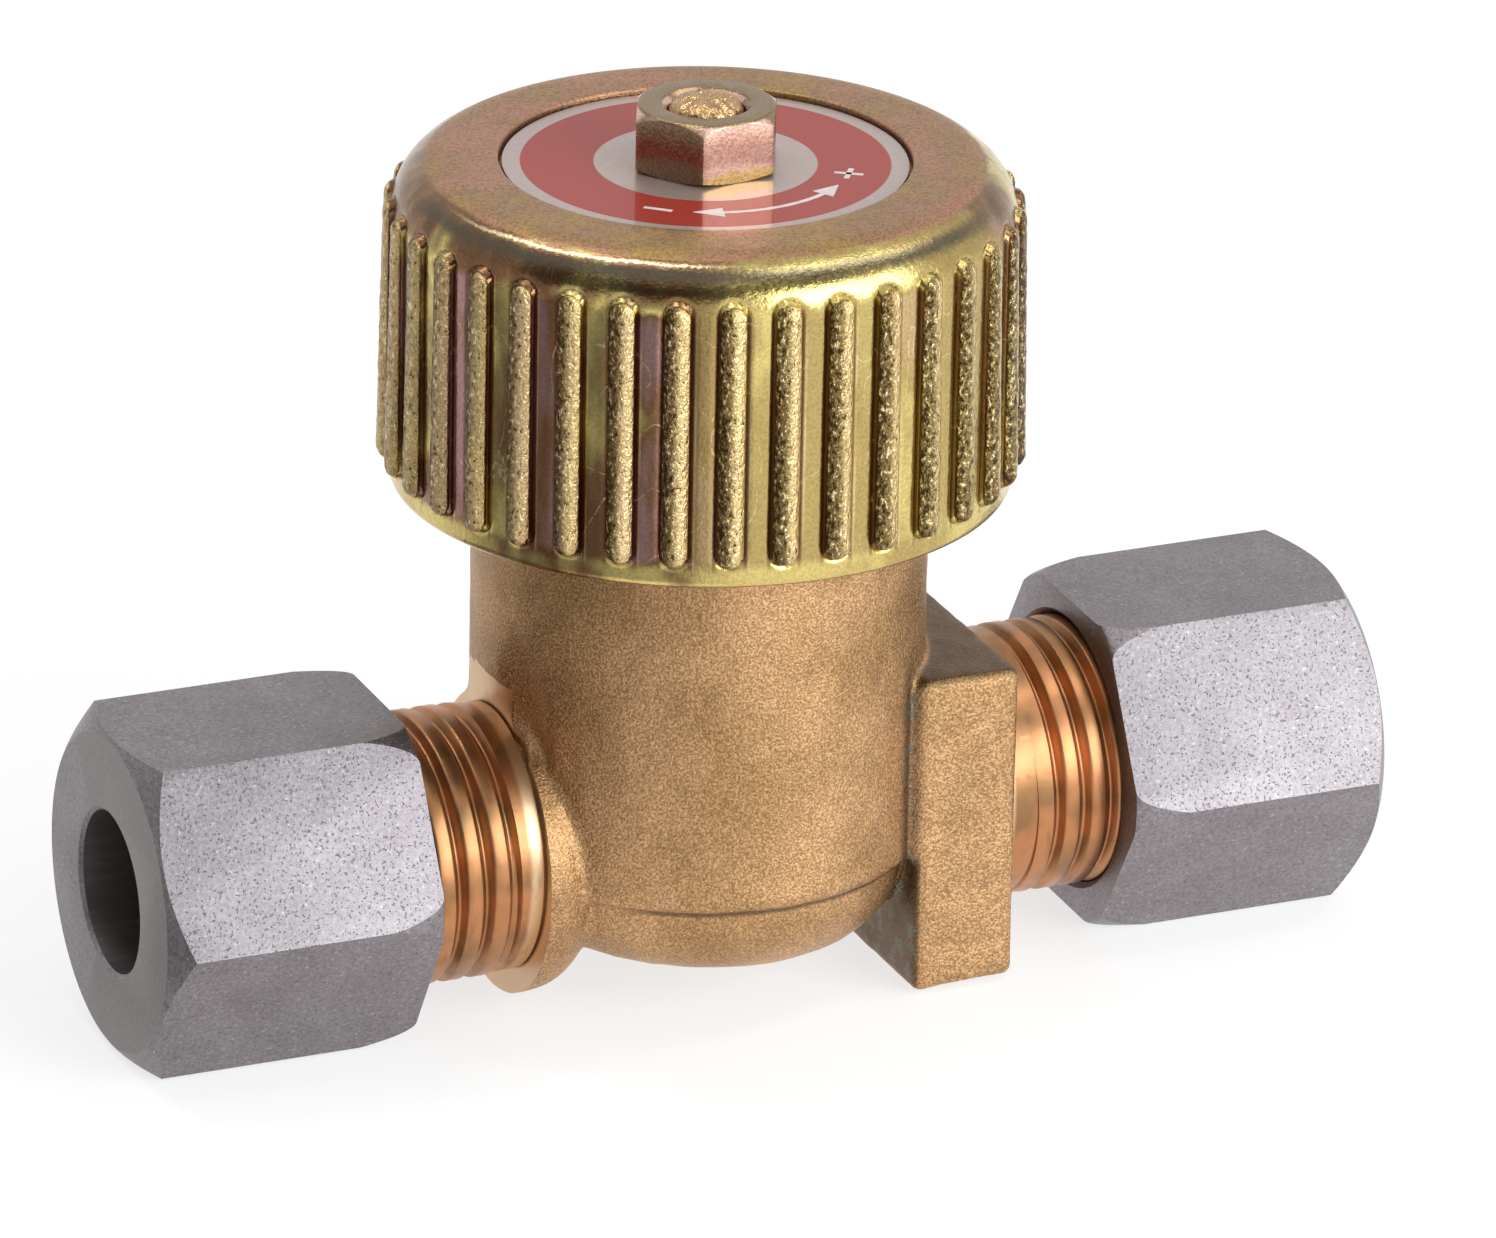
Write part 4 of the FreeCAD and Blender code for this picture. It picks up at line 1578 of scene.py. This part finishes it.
@dataclass
class RibbedCap:
    """The pressed handwheel: recess, flat ring, rounded shoulder and ribbed wall."""

    radius: float = 15.98
    floor: float = 41.0
    top: float = 41.7
    foot: float = 24.4
    head_taper: float = 0.34
    rim_edge: float = 0.45
    sheet: float = 1.2
    recess_radius: float = 10.55
    recess_wall: float = 1.05
    recess_edge: float = 0.15
    hole_radius: float = 2.4
    shoulder_radius: float = 2.9
    row_height: float = 0.3
    rows: int = 43
    foot_rows: int = 12
    rib_count: int = 36
    rib_radius: float = 0.72
    rib_low: float = 26.3
    rib_high: float = 38.95
    rib_phase: float = 2.1
    rib_columns: int = 12
    gap_columns: tuple[float, ...] = (0.1, 0.4, 0.7, 1.0)
    dent_depth: float = 0.035
    dent_scales: Span = (2.3, 5.1)
    swell_depth: float = 0.02
    swell_scale: float = 0.55
    moat_width: float = 0.25
    moat_depth: float = 0.1

    def outline(self) -> list[Point]:
        """The sheet's closed outline from the recess over the wall and back inside.

        Returns:
            Points of radius and height.
        """
        flat_end = self.radius - self.shoulder_radius
        wall_top = self.top - self.shoulder_radius
        wall_foot = self.foot + self.rim_edge
        edge = self.recess_edge
        levels = [wall_top - self.row_height * row for row in range(1, self.rows + 1)]
        last = levels[-1]
        levels += [last - (last - wall_foot) * row / self.foot_rows for row in range(1, self.foot_rows + 1)]
        outer = [(self.hole_radius, self.floor), (6.0, self.floor), (self.recess_radius, self.floor)]
        outer += arc((self.recess_radius + edge, self.top - edge), edge, 180.0, 90.0, 4)
        outer += [(11.3, self.top), (12.0, self.top)]
        outer += arc((flat_end, wall_top), self.shoulder_radius, 90.0, 0.0, 28)
        outer += [(self.radius, level) for level in levels]
        outer += arc((self.radius - self.rim_edge, wall_foot), self.rim_edge, 0.0, -90.0, 6)[1:]
        lining = self.radius - self.sheet
        inner = [(lining, self.foot), (lining, 0.5 * (wall_foot + wall_top))]
        inner += arc((flat_end, wall_top), self.shoulder_radius - self.sheet, 0.0, 90.0, 5)
        step = self.recess_radius + self.recess_wall
        inner += [(step, self.top - self.sheet), (step, self.floor - self.sheet)]
        inner += [(self.hole_radius, self.floor - self.sheet)]
        return outer + inner

    def column_places(self) -> list[float]:
        """Where the columns of one rib's sector stand.

        Returns:
            Arc lengths from the rib's middle, in order.
        """
        crown = [
            self.rib_radius * math.sin(math.radians(90.0 * (2.0 * step / self.rib_columns - 1.0)))
            for step in range(self.rib_columns + 1)
        ]
        gap = math.pi * self.radius / self.rib_count - self.rib_radius
        flank = [self.rib_radius + gap * share for share in self.gap_columns]
        return [-place for place in reversed(flank)] + crown + flank

    def raised(self, place: Vector, across: float) -> Vector:
        """Lift a point of the wall where a rib stands.

        Args:
            place: the point on the plain wall.
            across: its arc length from the rib's middle.

        Returns:
            The point on the rib, or sunk a little right beside it.
        """
        along = max(self.rib_low - place.z, 0.0, place.z - self.rib_high)
        reach = math.hypot(across, along)
        plain = math.hypot(place.x, place.y)
        if plain < self.radius - 0.9 or plain > self.radius + 0.01:
            return place
        if reach >= self.rib_radius:
            sink = max(0.0, 1.0 - (reach - self.rib_radius) / self.moat_width) * self.moat_depth
            return scaled_out(place, 1.0 - sink / plain)
        crown = self.radius + math.sqrt(self.rib_radius ** 2 - reach ** 2)
        return scaled_out(place, max(crown, plain) / plain)

    def fanned(self, spot: Vector, columns: Sequence[float]) -> Vector:
        """Move a point of the evenly spun slice to its column, and out onto the rib.

        Args:
            spot: the point on the slice.
            columns: the columns' arc lengths from the rib's middle.

        Returns:
            Its place on the ribbed wall.
        """
        angle = math.tau / self.rib_count
        half = 0.5 * math.tau / self.rib_count
        turn = abs(math.atan2(spot.y, spot.x))
        across = columns[round(turn / angle * (len(columns) - 1))]
        radius = math.hypot(spot.x, spot.y)
        way = across / (half * self.radius) * half
        moved = Vector((radius * math.cos(way), radius * math.sin(way), spot.z))
        return self.raised(moved, across) if radius > self.radius - 0.6 * self.sheet else moved

    def sector(self) -> Piece:
        """One rib's share of the cap, spun as a slice and then pushed out at the rib.

        Returns:
            The sector.
        """
        chain = [Vector((radius, 0.0, height)) for radius, height in self.outline()]
        piece = draw_outline("cap_sector", [*chain, chain[0]])
        columns = self.column_places()
        angle = math.tau / self.rib_count
        with editing(piece):
            bpy.ops.mesh.spin(steps=len(columns) - 1, angle=angle, center=(0, 0, 0), axis=(0, 0, 1))
            bpy.ops.mesh.remove_doubles(threshold=MERGE)
        move_vertices(piece, lambda spot: self.fanned(spot, columns))
        return piece

    def dented(self, spot: Vector) -> Vector:
        """Lower the ribs toward their heads, hammer them and roughen the wall a little.

        Args:
            spot: a place on the cap.

        Returns:
            Where it goes.
        """
        radius = math.hypot(spot.x, spot.y)
        if radius < self.radius - 1.0 or spot.z > self.top - self.shoulder_radius + 1.2:
            return spot
        rise = max(0.0, radius - self.radius)
        share = min(1.0, max(0.0, (spot.z - self.rib_low) / (self.rib_high - self.rib_low)))
        change = -rise * self.head_taper * share
        coarse, fine = self.dent_scales
        bump = noise.noise(spot * coarse) + 0.6 * noise.noise(spot * fine)
        change += min(1.0, rise / 0.5) * self.dent_depth * (bump - 0.4)
        if spot.z > self.rib_low - 1.0:
            change += self.swell_depth * noise.noise(spot * self.swell_scale)
        return scaled_out(spot, (radius + change) / radius)

    def build(self, finish: Material) -> None:
        """Set the sectors round the axis and weld them.

        Args:
            finish: the chromate.
        """
        first = self.sector()
        sectors = [first]
        for step in range(1, self.rib_count):
            twin = copy_of(first, f"cap_sector_{step}")
            twin.data.transform(Matrix.Rotation(math.tau * step / self.rib_count, 4, "Z"))
            sectors.append(twin)
        piece = join(sectors)
        piece.data.transform(Matrix.Rotation(math.radians(self.rib_phase), 4, "Z"))
        weld(piece, MERGE_CUT)
        move_vertices(piece, self.dented)
        paint(piece, finish)
        hand_over(piece, "ribbed_cap", 50.0)
        seat(piece, "wheel", "chromated_steel", "handwheel")


@dataclass
class TopNut:
    """The hexagon nut on the handwheel."""

    low: float = 41.42
    height: float = 3.2
    flats: float = 7.0
    phase: float = 4.9
    hole: float = 2.0
    mouth: float = 0.35
    chamfer: float = 0.45
    face_inset: float = 0.05
    edge_radius: float = 0.1

    def build(self, finish: Material) -> None:
        """Cut the hexagon by its chamfers and round its edges.

        Args:
            finish: the chromate.
        """
        top = self.low + self.height
        reach = 0.5 * self.flats / HEXAGON_CORNER
        face = 0.5 * self.flats - self.face_inset
        outline = [
            (self.hole, self.low),
            (face, self.low),
            (reach, self.low + 0.5 * self.chamfer),
            (reach, top - self.chamfer),
            (face, top),
            (self.hole + self.mouth, top),
            (self.hole, top - self.mouth),
        ]
        turned = spin("top_nut_outline", outline, 144)
        piece = hexagon(self.flats, self.height, Vector((0, 0, self.low + 0.5 * self.height)))
        corner = max(piece.data.vertices, key=lambda vertex: vertex.co.x).co
        start = math.degrees(math.atan2(corner.y, corner.x))
        piece.data.transform(Matrix.Rotation(math.radians(self.phase - start), 4, "Z"))
        combine(piece, turned, Cut.INTERSECT)
        weld(piece, MERGE_CUT)
        round_edges(piece, self.edge_radius, 24.0)
        paint(piece, finish)
        hand_over(piece, "top_nut", 40.0)
        seat(piece, "wheel", "chromated_steel", "handwheel_nut")


@dataclass
class Spindle:
    """The spindle, plain inside the valve, with a hammered stud end that shows in the nut."""

    foot_radius: float = 2.0
    foot: float = 12.85
    foot_edge: float = 0.4
    ring_level: float = 14.6
    groove: float = 0.47
    thread_radius: float = 3.95
    thread_low: float = 17.5
    thread_high: float = 26.5
    thread_edge: float = 0.6
    shaft_radius: float = 2.75
    shaft_top: float = 37.5
    stud_radius: float = 1.98
    stud_top: float = 44.42
    head_height: float = 0.3
    crown: float = 45.12
    crown_room: float = 0.12
    crown_rings: int = 14
    dent_depth: float = 0.16
    dent_scales: Span = (1.7, 3.9)

    def hammered(self, spot: Vector) -> Vector:
        """Dent the stud's end.

        Args:
            spot: a place on the spindle.

        Returns:
            Where it goes.
        """
        if spot.z < self.stud_top - 0.25:
            return spot
        coarse, fine = self.dent_scales
        dent = noise.noise(spot * coarse) + 0.7 * noise.noise(spot * fine)
        return Vector((spot.x, spot.y, min(self.crown - 0.005, spot.z + self.dent_depth * dent)))

    def build(self, finish: Material, peened: Material) -> None:
        """Turn the bar and hammer its upper end.

        Args:
            finish: the bar's finish.
            peened: the finish of the hammered end.
        """
        neck = self.foot_radius - self.groove
        outline = [
            (0.0, self.foot),
            (self.foot_radius - self.foot_edge, self.foot),
            (self.foot_radius, self.foot + self.foot_edge),
            (self.foot_radius, self.ring_level - self.groove),
            (neck, self.ring_level - self.groove),
            (neck, self.ring_level + self.groove),
            (self.foot_radius, self.ring_level + self.groove),
            (self.foot_radius, self.thread_low),
            (self.thread_radius - self.thread_edge, self.thread_low),
            (self.thread_radius, self.thread_low + self.thread_edge),
            (self.thread_radius, self.thread_high),
            (self.shaft_radius, self.thread_high),
            (self.shaft_radius, self.shaft_top),
            (self.stud_radius, self.shaft_top),
            (self.stud_radius, self.stud_top - self.head_height),
        ]
        head = self.crown - self.crown_room - self.stud_top + self.head_height
        for step in range(self.crown_rings + 1):
            share = step / self.crown_rings
            rise = math.sqrt(max(0.0, 1.0 - (1.0 - share) ** 2.6))
            level = self.stud_top - self.head_height + head * rise
            outline.append((self.stud_radius * (1.0 - share), level))
        piece = spin("spindle_bar", outline, 120)
        move_vertices(piece, self.hammered)
        paint(piece, finish, peened)
        hand_over(piece, "spindle_bar", 45.0)
        for face in piece.data.polygons:
            face.material_index = int(face.center.z > (self.stud_top - 0.4) * MM)
        seat(piece, "wheel", "chromated_steel", "spindle")


@dataclass
class LabelSigns:
    """The plain opening arrow and its plus and minus signs, printed on the label's band."""

    level: float = 41.42
    thickness: float = 0.012
    radius: float = 7.4
    width: float = 0.28
    tip_width: float = 0.04
    start: float = -118.0
    end: float = -48.0
    arrow_steps: int = 24
    head_length: float = 12.0
    head_width: float = 1.3
    sign_gap: float = 14.0
    sign_size: float = 1.5

    def at(self, radius: float, angle: float) -> Vector:
        """A place on the label."""
        turn = math.radians(angle)
        return Vector((radius * math.cos(turn), radius * math.sin(turn), self.level))

    def plate(self, name: str, corners: list[Vector]) -> Piece:
        """Fill an outline and give it the ink's thickness.

        Args:
            name: the piece's name.
            corners: the outline's corners, in order.

        Returns:
            The plate.
        """
        piece = draw_outline(name, [*corners, corners[0]])
        with editing(piece):
            bpy.ops.mesh.remove_doubles(threshold=MERGE)
            bpy.ops.mesh.edge_face_add()
            bpy.ops.mesh.extrude_region_move(TRANSFORM_OT_translate={"value": (0, 0, self.thickness)})
            bpy.ops.mesh.select_all(action="SELECT")
            bpy.ops.mesh.normals_make_consistent(inside=False)
        return piece

    def arrow(self) -> Piece:
        """The curved arrow with a head at each end.

        Returns:
            The arrow as a thin plate.
        """
        low, high = self.start + self.head_length, self.end - self.head_length
        edge = [(self.tip_width, self.start), (self.head_width, low)]
        for step in range(self.arrow_steps + 1):
            edge.append((self.width, low + (high - low) * step / self.arrow_steps))
        edge += [(self.head_width, high), (self.tip_width, self.end)]
        inner = [self.at(self.radius - 0.5 * width, angle) for width, angle in edge]
        outer = [self.at(self.radius + 0.5 * width, angle) for width, angle in reversed(edge)]
        return self.plate("label_arrow", inner + outer)

    def bar(self, name: str, angle: float, upright: bool) -> Piece:
        """One stroke of a sign.

        Args:
            name: the piece's name.
            angle: where the stroke stands on the band.
            upright: whether it runs across the band and not along it.

        Returns:
            The stroke as a thin plate.
        """
        middle = self.at(self.radius, angle)
        out = Vector((middle.x, middle.y, 0.0)).normalized()
        side = Vector((-out.y, out.x, 0.0))
        long, short = (out, side) if upright else (side, out)
        reach, half = 0.5 * self.sign_size, 0.5 * self.width
        turns = ((1.0, 1.0), (1.0, -1.0), (-1.0, -1.0), (-1.0, 1.0))
        return self.plate(name, [middle + long * reach * a + short * half * b for a, b in turns])

    def build(self, ink: Material) -> None:
        """Print the arrow, the plus at its opening end and the minus at its closing end.

        Args:
            ink: the ink.
        """
        opening, closing = self.end + self.sign_gap, self.start - self.sign_gap
        plus = [self.bar("label_plus", opening, False), self.bar("plus_stroke", opening, True)]
        signs = {
            "label_arrow": self.arrow(),
            "label_plus": join(plus),
            "label_minus": self.bar("label_minus", closing, False),
        }
        for name, piece in signs.items():
            paint(piece, ink)
            hand_over(piece, name, 30.0)
            seat(piece, "wheel", "printed_aluminium")


@dataclass
class Studio:
    """Floor, world, lamps and camera. Ways are shares to the right, to the camera and up."""

    floor_height: float = -2.72
    image_width: float = 1496.0
    azimuth: float = -23.72
    elevation: float = 22.17
    roll: float = 1.09
    distance: float = 687.057
    focal_pixels: float = 13259.614
    target_right: float = 2.597
    target_up: float = 9.616
    target_height: float = 6.0
    sensor_width: float = 36.0
    band: Span = (0.32, 0.78)
    band_depth: float = 0.9
    left_depth: float = 0.2
    fill_level: float = 0.6
    paper_tone: Colour = (0.82, 0.82, 0.82)
    mirrored_tone: Colour = (0.3, 0.3, 0.3)
    paper_level: float = 0.72
    paper_mirrored: float = 0.95
    front_shadow_depth: float = 0.75
    lamp_height: float = 0.02
    lamp_distance: float = 0.6
    key_heading: Point = (52.0, 19.0)
    key_size: Point = (0.54, 0.34)
    key_level: float = 6.0
    key_colour: Colour = (0.93, 0.98, 1.0)
    strips: tuple[tuple[str, Way, Way, float, float], ...] = (
        ("left_strip", (-0.52, -0.33, 0.79), (-0.05, 0.0, 1.0), 0.045, 12.0),
        ("right_strip", (0.2, 0.25, 0.95), (0.68, -0.25, 0.69), 0.11, 4.5),
    )

    @property
    def front(self) -> Vector:
        """The level direction from the valve to the camera."""
        turn = math.radians(self.azimuth)
        return Vector((math.sin(turn), -math.cos(turn), 0.0))

    @property
    def right(self) -> Vector:
        """The direction that the picture shows as right."""
        turn = math.radians(self.azimuth)
        return Vector((math.cos(turn), math.sin(turn), 0.0))

    def heading(self, turn: float, rise: float) -> Vector:
        """A direction from angles in degrees.

        Args:
            turn: how far it is turned to the right of the camera.
            rise: how far it rises.

        Returns:
            The direction.
        """
        turn, rise = math.radians(turn), math.radians(rise)
        level = self.right * math.sin(turn) + self.front * math.cos(turn)
        return level * math.cos(rise) + Vector((0.0, 0.0, math.sin(rise)))

    def aim(self, right: float, front: float, up: float) -> Vector:
        """A direction from its shares to the right, to the camera and up."""
        return (self.right * right + self.front * front + Vector((0.0, 0.0, up))).normalized()

    def floor(self) -> None:
        """A pale floor that keeps the object's shadow, darker on the left in reflections, with a painted
        shadow in front of the valve that only reflections show.
        """
        clear_selection()
        bpy.ops.mesh.primitive_circle_add(
            vertices=96, radius=3.0, fill_type="NGON", location=(0, 0, self.floor_height * MM)
        )
        plane = bpy.context.object
        plane.name = "studio_floor"
        board = Board("floor_paper")
        path = board.node("ShaderNodeLightPath").outputs
        spot = board.wired("ShaderNodeVectorMath", {0: board.place}, operation="NORMALIZE")
        left = board.between(board.toward(tuple(-self.right), spot), 0.1, 0.95)
        # Painted shadow on the floor in front of the valve, seen only in reflections.
        front_shadow = board.times(
            board.step(board.radius(), (32.0, 50.0)),
            board.step(board.toward(tuple(-self.right)), (-22.0, 14.0)),
            board.step(board.toward(tuple(self.front)), (-4.0, 18.0)),
            board.between(board.radius(), 0.4, 0.2),
        )
        depth = board.plus(board.times(left, self.left_depth), board.times(front_shadow, self.front_shadow_depth))
        level = board.sloped(depth, -self.paper_mirrored, self.paper_mirrored - self.paper_level)
        level = board.plus(board.times(level, path["Is Glossy Ray"]), self.paper_level)
        diffuse = board.wired("ShaderNodeBsdfDiffuse", {"Color": self.paper_tone})
        soft = board.wired("ShaderNodeBsdfDiffuse", {"Color": self.mirrored_tone})
        glow = board.wired("ShaderNodeEmission", {"Strength": level})
        both = board.wired("ShaderNodeAddShader", {0: soft, 1: glow})
        seen = board.maths("MAXIMUM", path["Is Camera Ray"], path["Is Glossy Ray"])
        seen = board.maths("MAXIMUM", seen, path["Is Transmission Ray"])
        board.put_out(board.wired("ShaderNodeMixShader", {0: seen, 1: diffuse, 2: both}))
        paint(plane, board.owner)

    def world(self) -> None:
        """A white surround; reflections also show a dark band over the camera and a dimmer left side."""
        board = Board("studio_world", surround=True)
        bpy.context.scene.world = board.owner
        _, _, up = board.axes()
        low, high = self.band
        dark = board.times(
            board.between(board.toward(tuple(self.front)), 0.0, 0.45),
            board.between(up, low - 0.05, low + 0.05),
            board.between(up, high + 0.08, high - 0.08),
            self.band_depth,
        )
        left = board.between(board.toward(tuple(-self.right)), 0.3, 0.95)
        level = board.times(board.minus(1.0, dark), board.sloped(left, -self.left_depth, 1.0))
        path = board.node("ShaderNodeLightPath").outputs
        mirrored = path["Is Glossy Ray"]
        seen = board.sloped(path["Is Camera Ray"], 1.0 - self.fill_level, self.fill_level)
        plain = board.times(seen, board.minus(1.0, mirrored))
        strength = board.plus(plain, board.times(level, mirrored))
        white = (1.0, 1.0, 1.0)
        back = board.wired("ShaderNodeBackground", {"Strength": strength, "Color": white})
        board.put_out(back, "World")

    def lamp(
        self, name: str, way: Vector, size: Point, level: float, along: Vector | None = None
    ) -> bpy.types.Light:
        """One soft lamp that looks at the valve.

        Args:
            name: the lamp's name.
            way: the direction from the valve to the lamp.
            size: its width and height in metres.
            level: its brightness, where 1 is white.
            along: the direction of its width; level if none is given.

        Returns:
            The lamp's data.
        """
        data = bpy.data.lights.new(name, "AREA")
        data.shape = "RECTANGLE"
        data.size, data.size_y = size
        data.energy = level * math.pi * size[0] * size[1]
        piece = bpy.data.objects.new(name, data)
        bpy.context.scene.collection.objects.link(piece)
        out = way.normalized()
        wide = along or Vector((0.0, 0.0, 1.0)).cross(out)
        wide = (wide - out * wide.dot(out)).normalized()
        turned = Matrix((wide, out.cross(wide), out)).transposed().to_4x4()
        place = Vector((0.0, 0.0, self.lamp_height)) + out * self.lamp_distance
        piece.matrix_world = Matrix.Translation(place) @ turned
        return data

    def camera(self) -> None:
        """The camera at the photograph's angle and length."""
        roll = math.radians(self.roll)
        back, right = self.heading(0.0, self.elevation), self.right
        up = back.cross(right)
        target = right * self.target_right + up * self.target_up + Vector((0.0, 0.0, self.target_height))
        place = (target + back * self.distance) * MM
        side = right * math.cos(roll) + up * math.sin(roll)
        head = up * math.cos(roll) - right * math.sin(roll)
        data = bpy.data.cameras.new("photo_camera")
        data.sensor_width = self.sensor_width
        data.lens = self.focal_pixels / self.image_width * self.sensor_width
        data.clip_start, data.clip_end = 0.01, 50.0
        camera = bpy.data.objects.new("photo_camera", data)
        bpy.context.scene.collection.objects.link(camera)
        turned = Matrix((side, head, back)).transposed().to_4x4()
        camera.matrix_world = Matrix.Translation(place) @ turned
        bpy.context.scene.camera = camera

    def build(self) -> None:
        """Set up the studio."""
        bpy.context.scene.view_settings.view_transform = "Standard"
        self.floor()
        self.world()
        key = self.lamp("key_softbox", self.heading(*self.key_heading), self.key_size, self.key_level)
        key.color = self.key_colour
        for name, first, last, width, level in self.strips:
            start, end = self.aim(*first), self.aim(*last)
            size = (self.lamp_distance * (end - start).length, width)
            self.lamp(name, start + end, size, level, end - start)
        self.camera()


def dress_solids(finishes: dict[str, Material]) -> None:
    """Give each solid that stays its finish.

    Args:
        finishes: the material of each node that isn't replaced.
    """
    for node, finish in finishes.items():
        paint(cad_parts[node], finish)
    log.info("%d solids keep their shape and are dressed", len(finishes))


def main() -> None:
    """Build every sub-assembly in order and report it."""
    logging.basicConfig(level=logging.INFO, format="%(name)s: %(message)s")
    turned = TurnedBrass().build()
    steel = Plain("bright_steel", (0.6, 0.6, 0.61), 1.0, 0.3).build()
    bore = BoreShade().build()
    rubber = Plain("black_rubber", (0.03, 0.03, 0.03), 0.0, 0.55).build()
    fibre = Plain("red_fibre", (0.3, 0.1, 0.06), 0.0, 0.7).build()
    line = PipeLine()
    BodyCasting(line).build(CastBrass().build(), turned)
    zinc, worn_zinc = GreyZinc().build(), GreyZinc("worn_zinc", rubbed=True).build()
    for side in Side:
        UnionNut(line, side).build(zinc, worn_zinc, bore)
    RibbedCap().build(YellowChromate().build())
    TopNut().build(ChromateBar().build())
    Spindle().build(steel, Plain("peened_gold", tint(190, 152, 110), 1.0, 0.24, 0.12).build())
    LabelSigns().build(Plain("pale_ink", (0.72, 0.62, 0.6), 0.0, 0.4).build())
    dress_solids({
        "bonnet": turned,
        "bonnet_gasket": fibre,
        "stem_o_ring_lower": rubber,
        "stem_seal_spacer": turned,
        "stem_o_ring_upper": rubber,
        "gland_nut": turned,
        "disc_holder": turned,
        "foot_ring": steel,
        "seat_seal": rubber,
        "seal_washer": steel,
        "seal_screw": steel,
        "handwheel_hub": steel,
        "label_disc": LabelPrint().build(),
        "cutting_ring_left": bore,
        "cutting_ring_right": bore,
    })
    Studio().build()


if __name__ == "__main__":
    main()
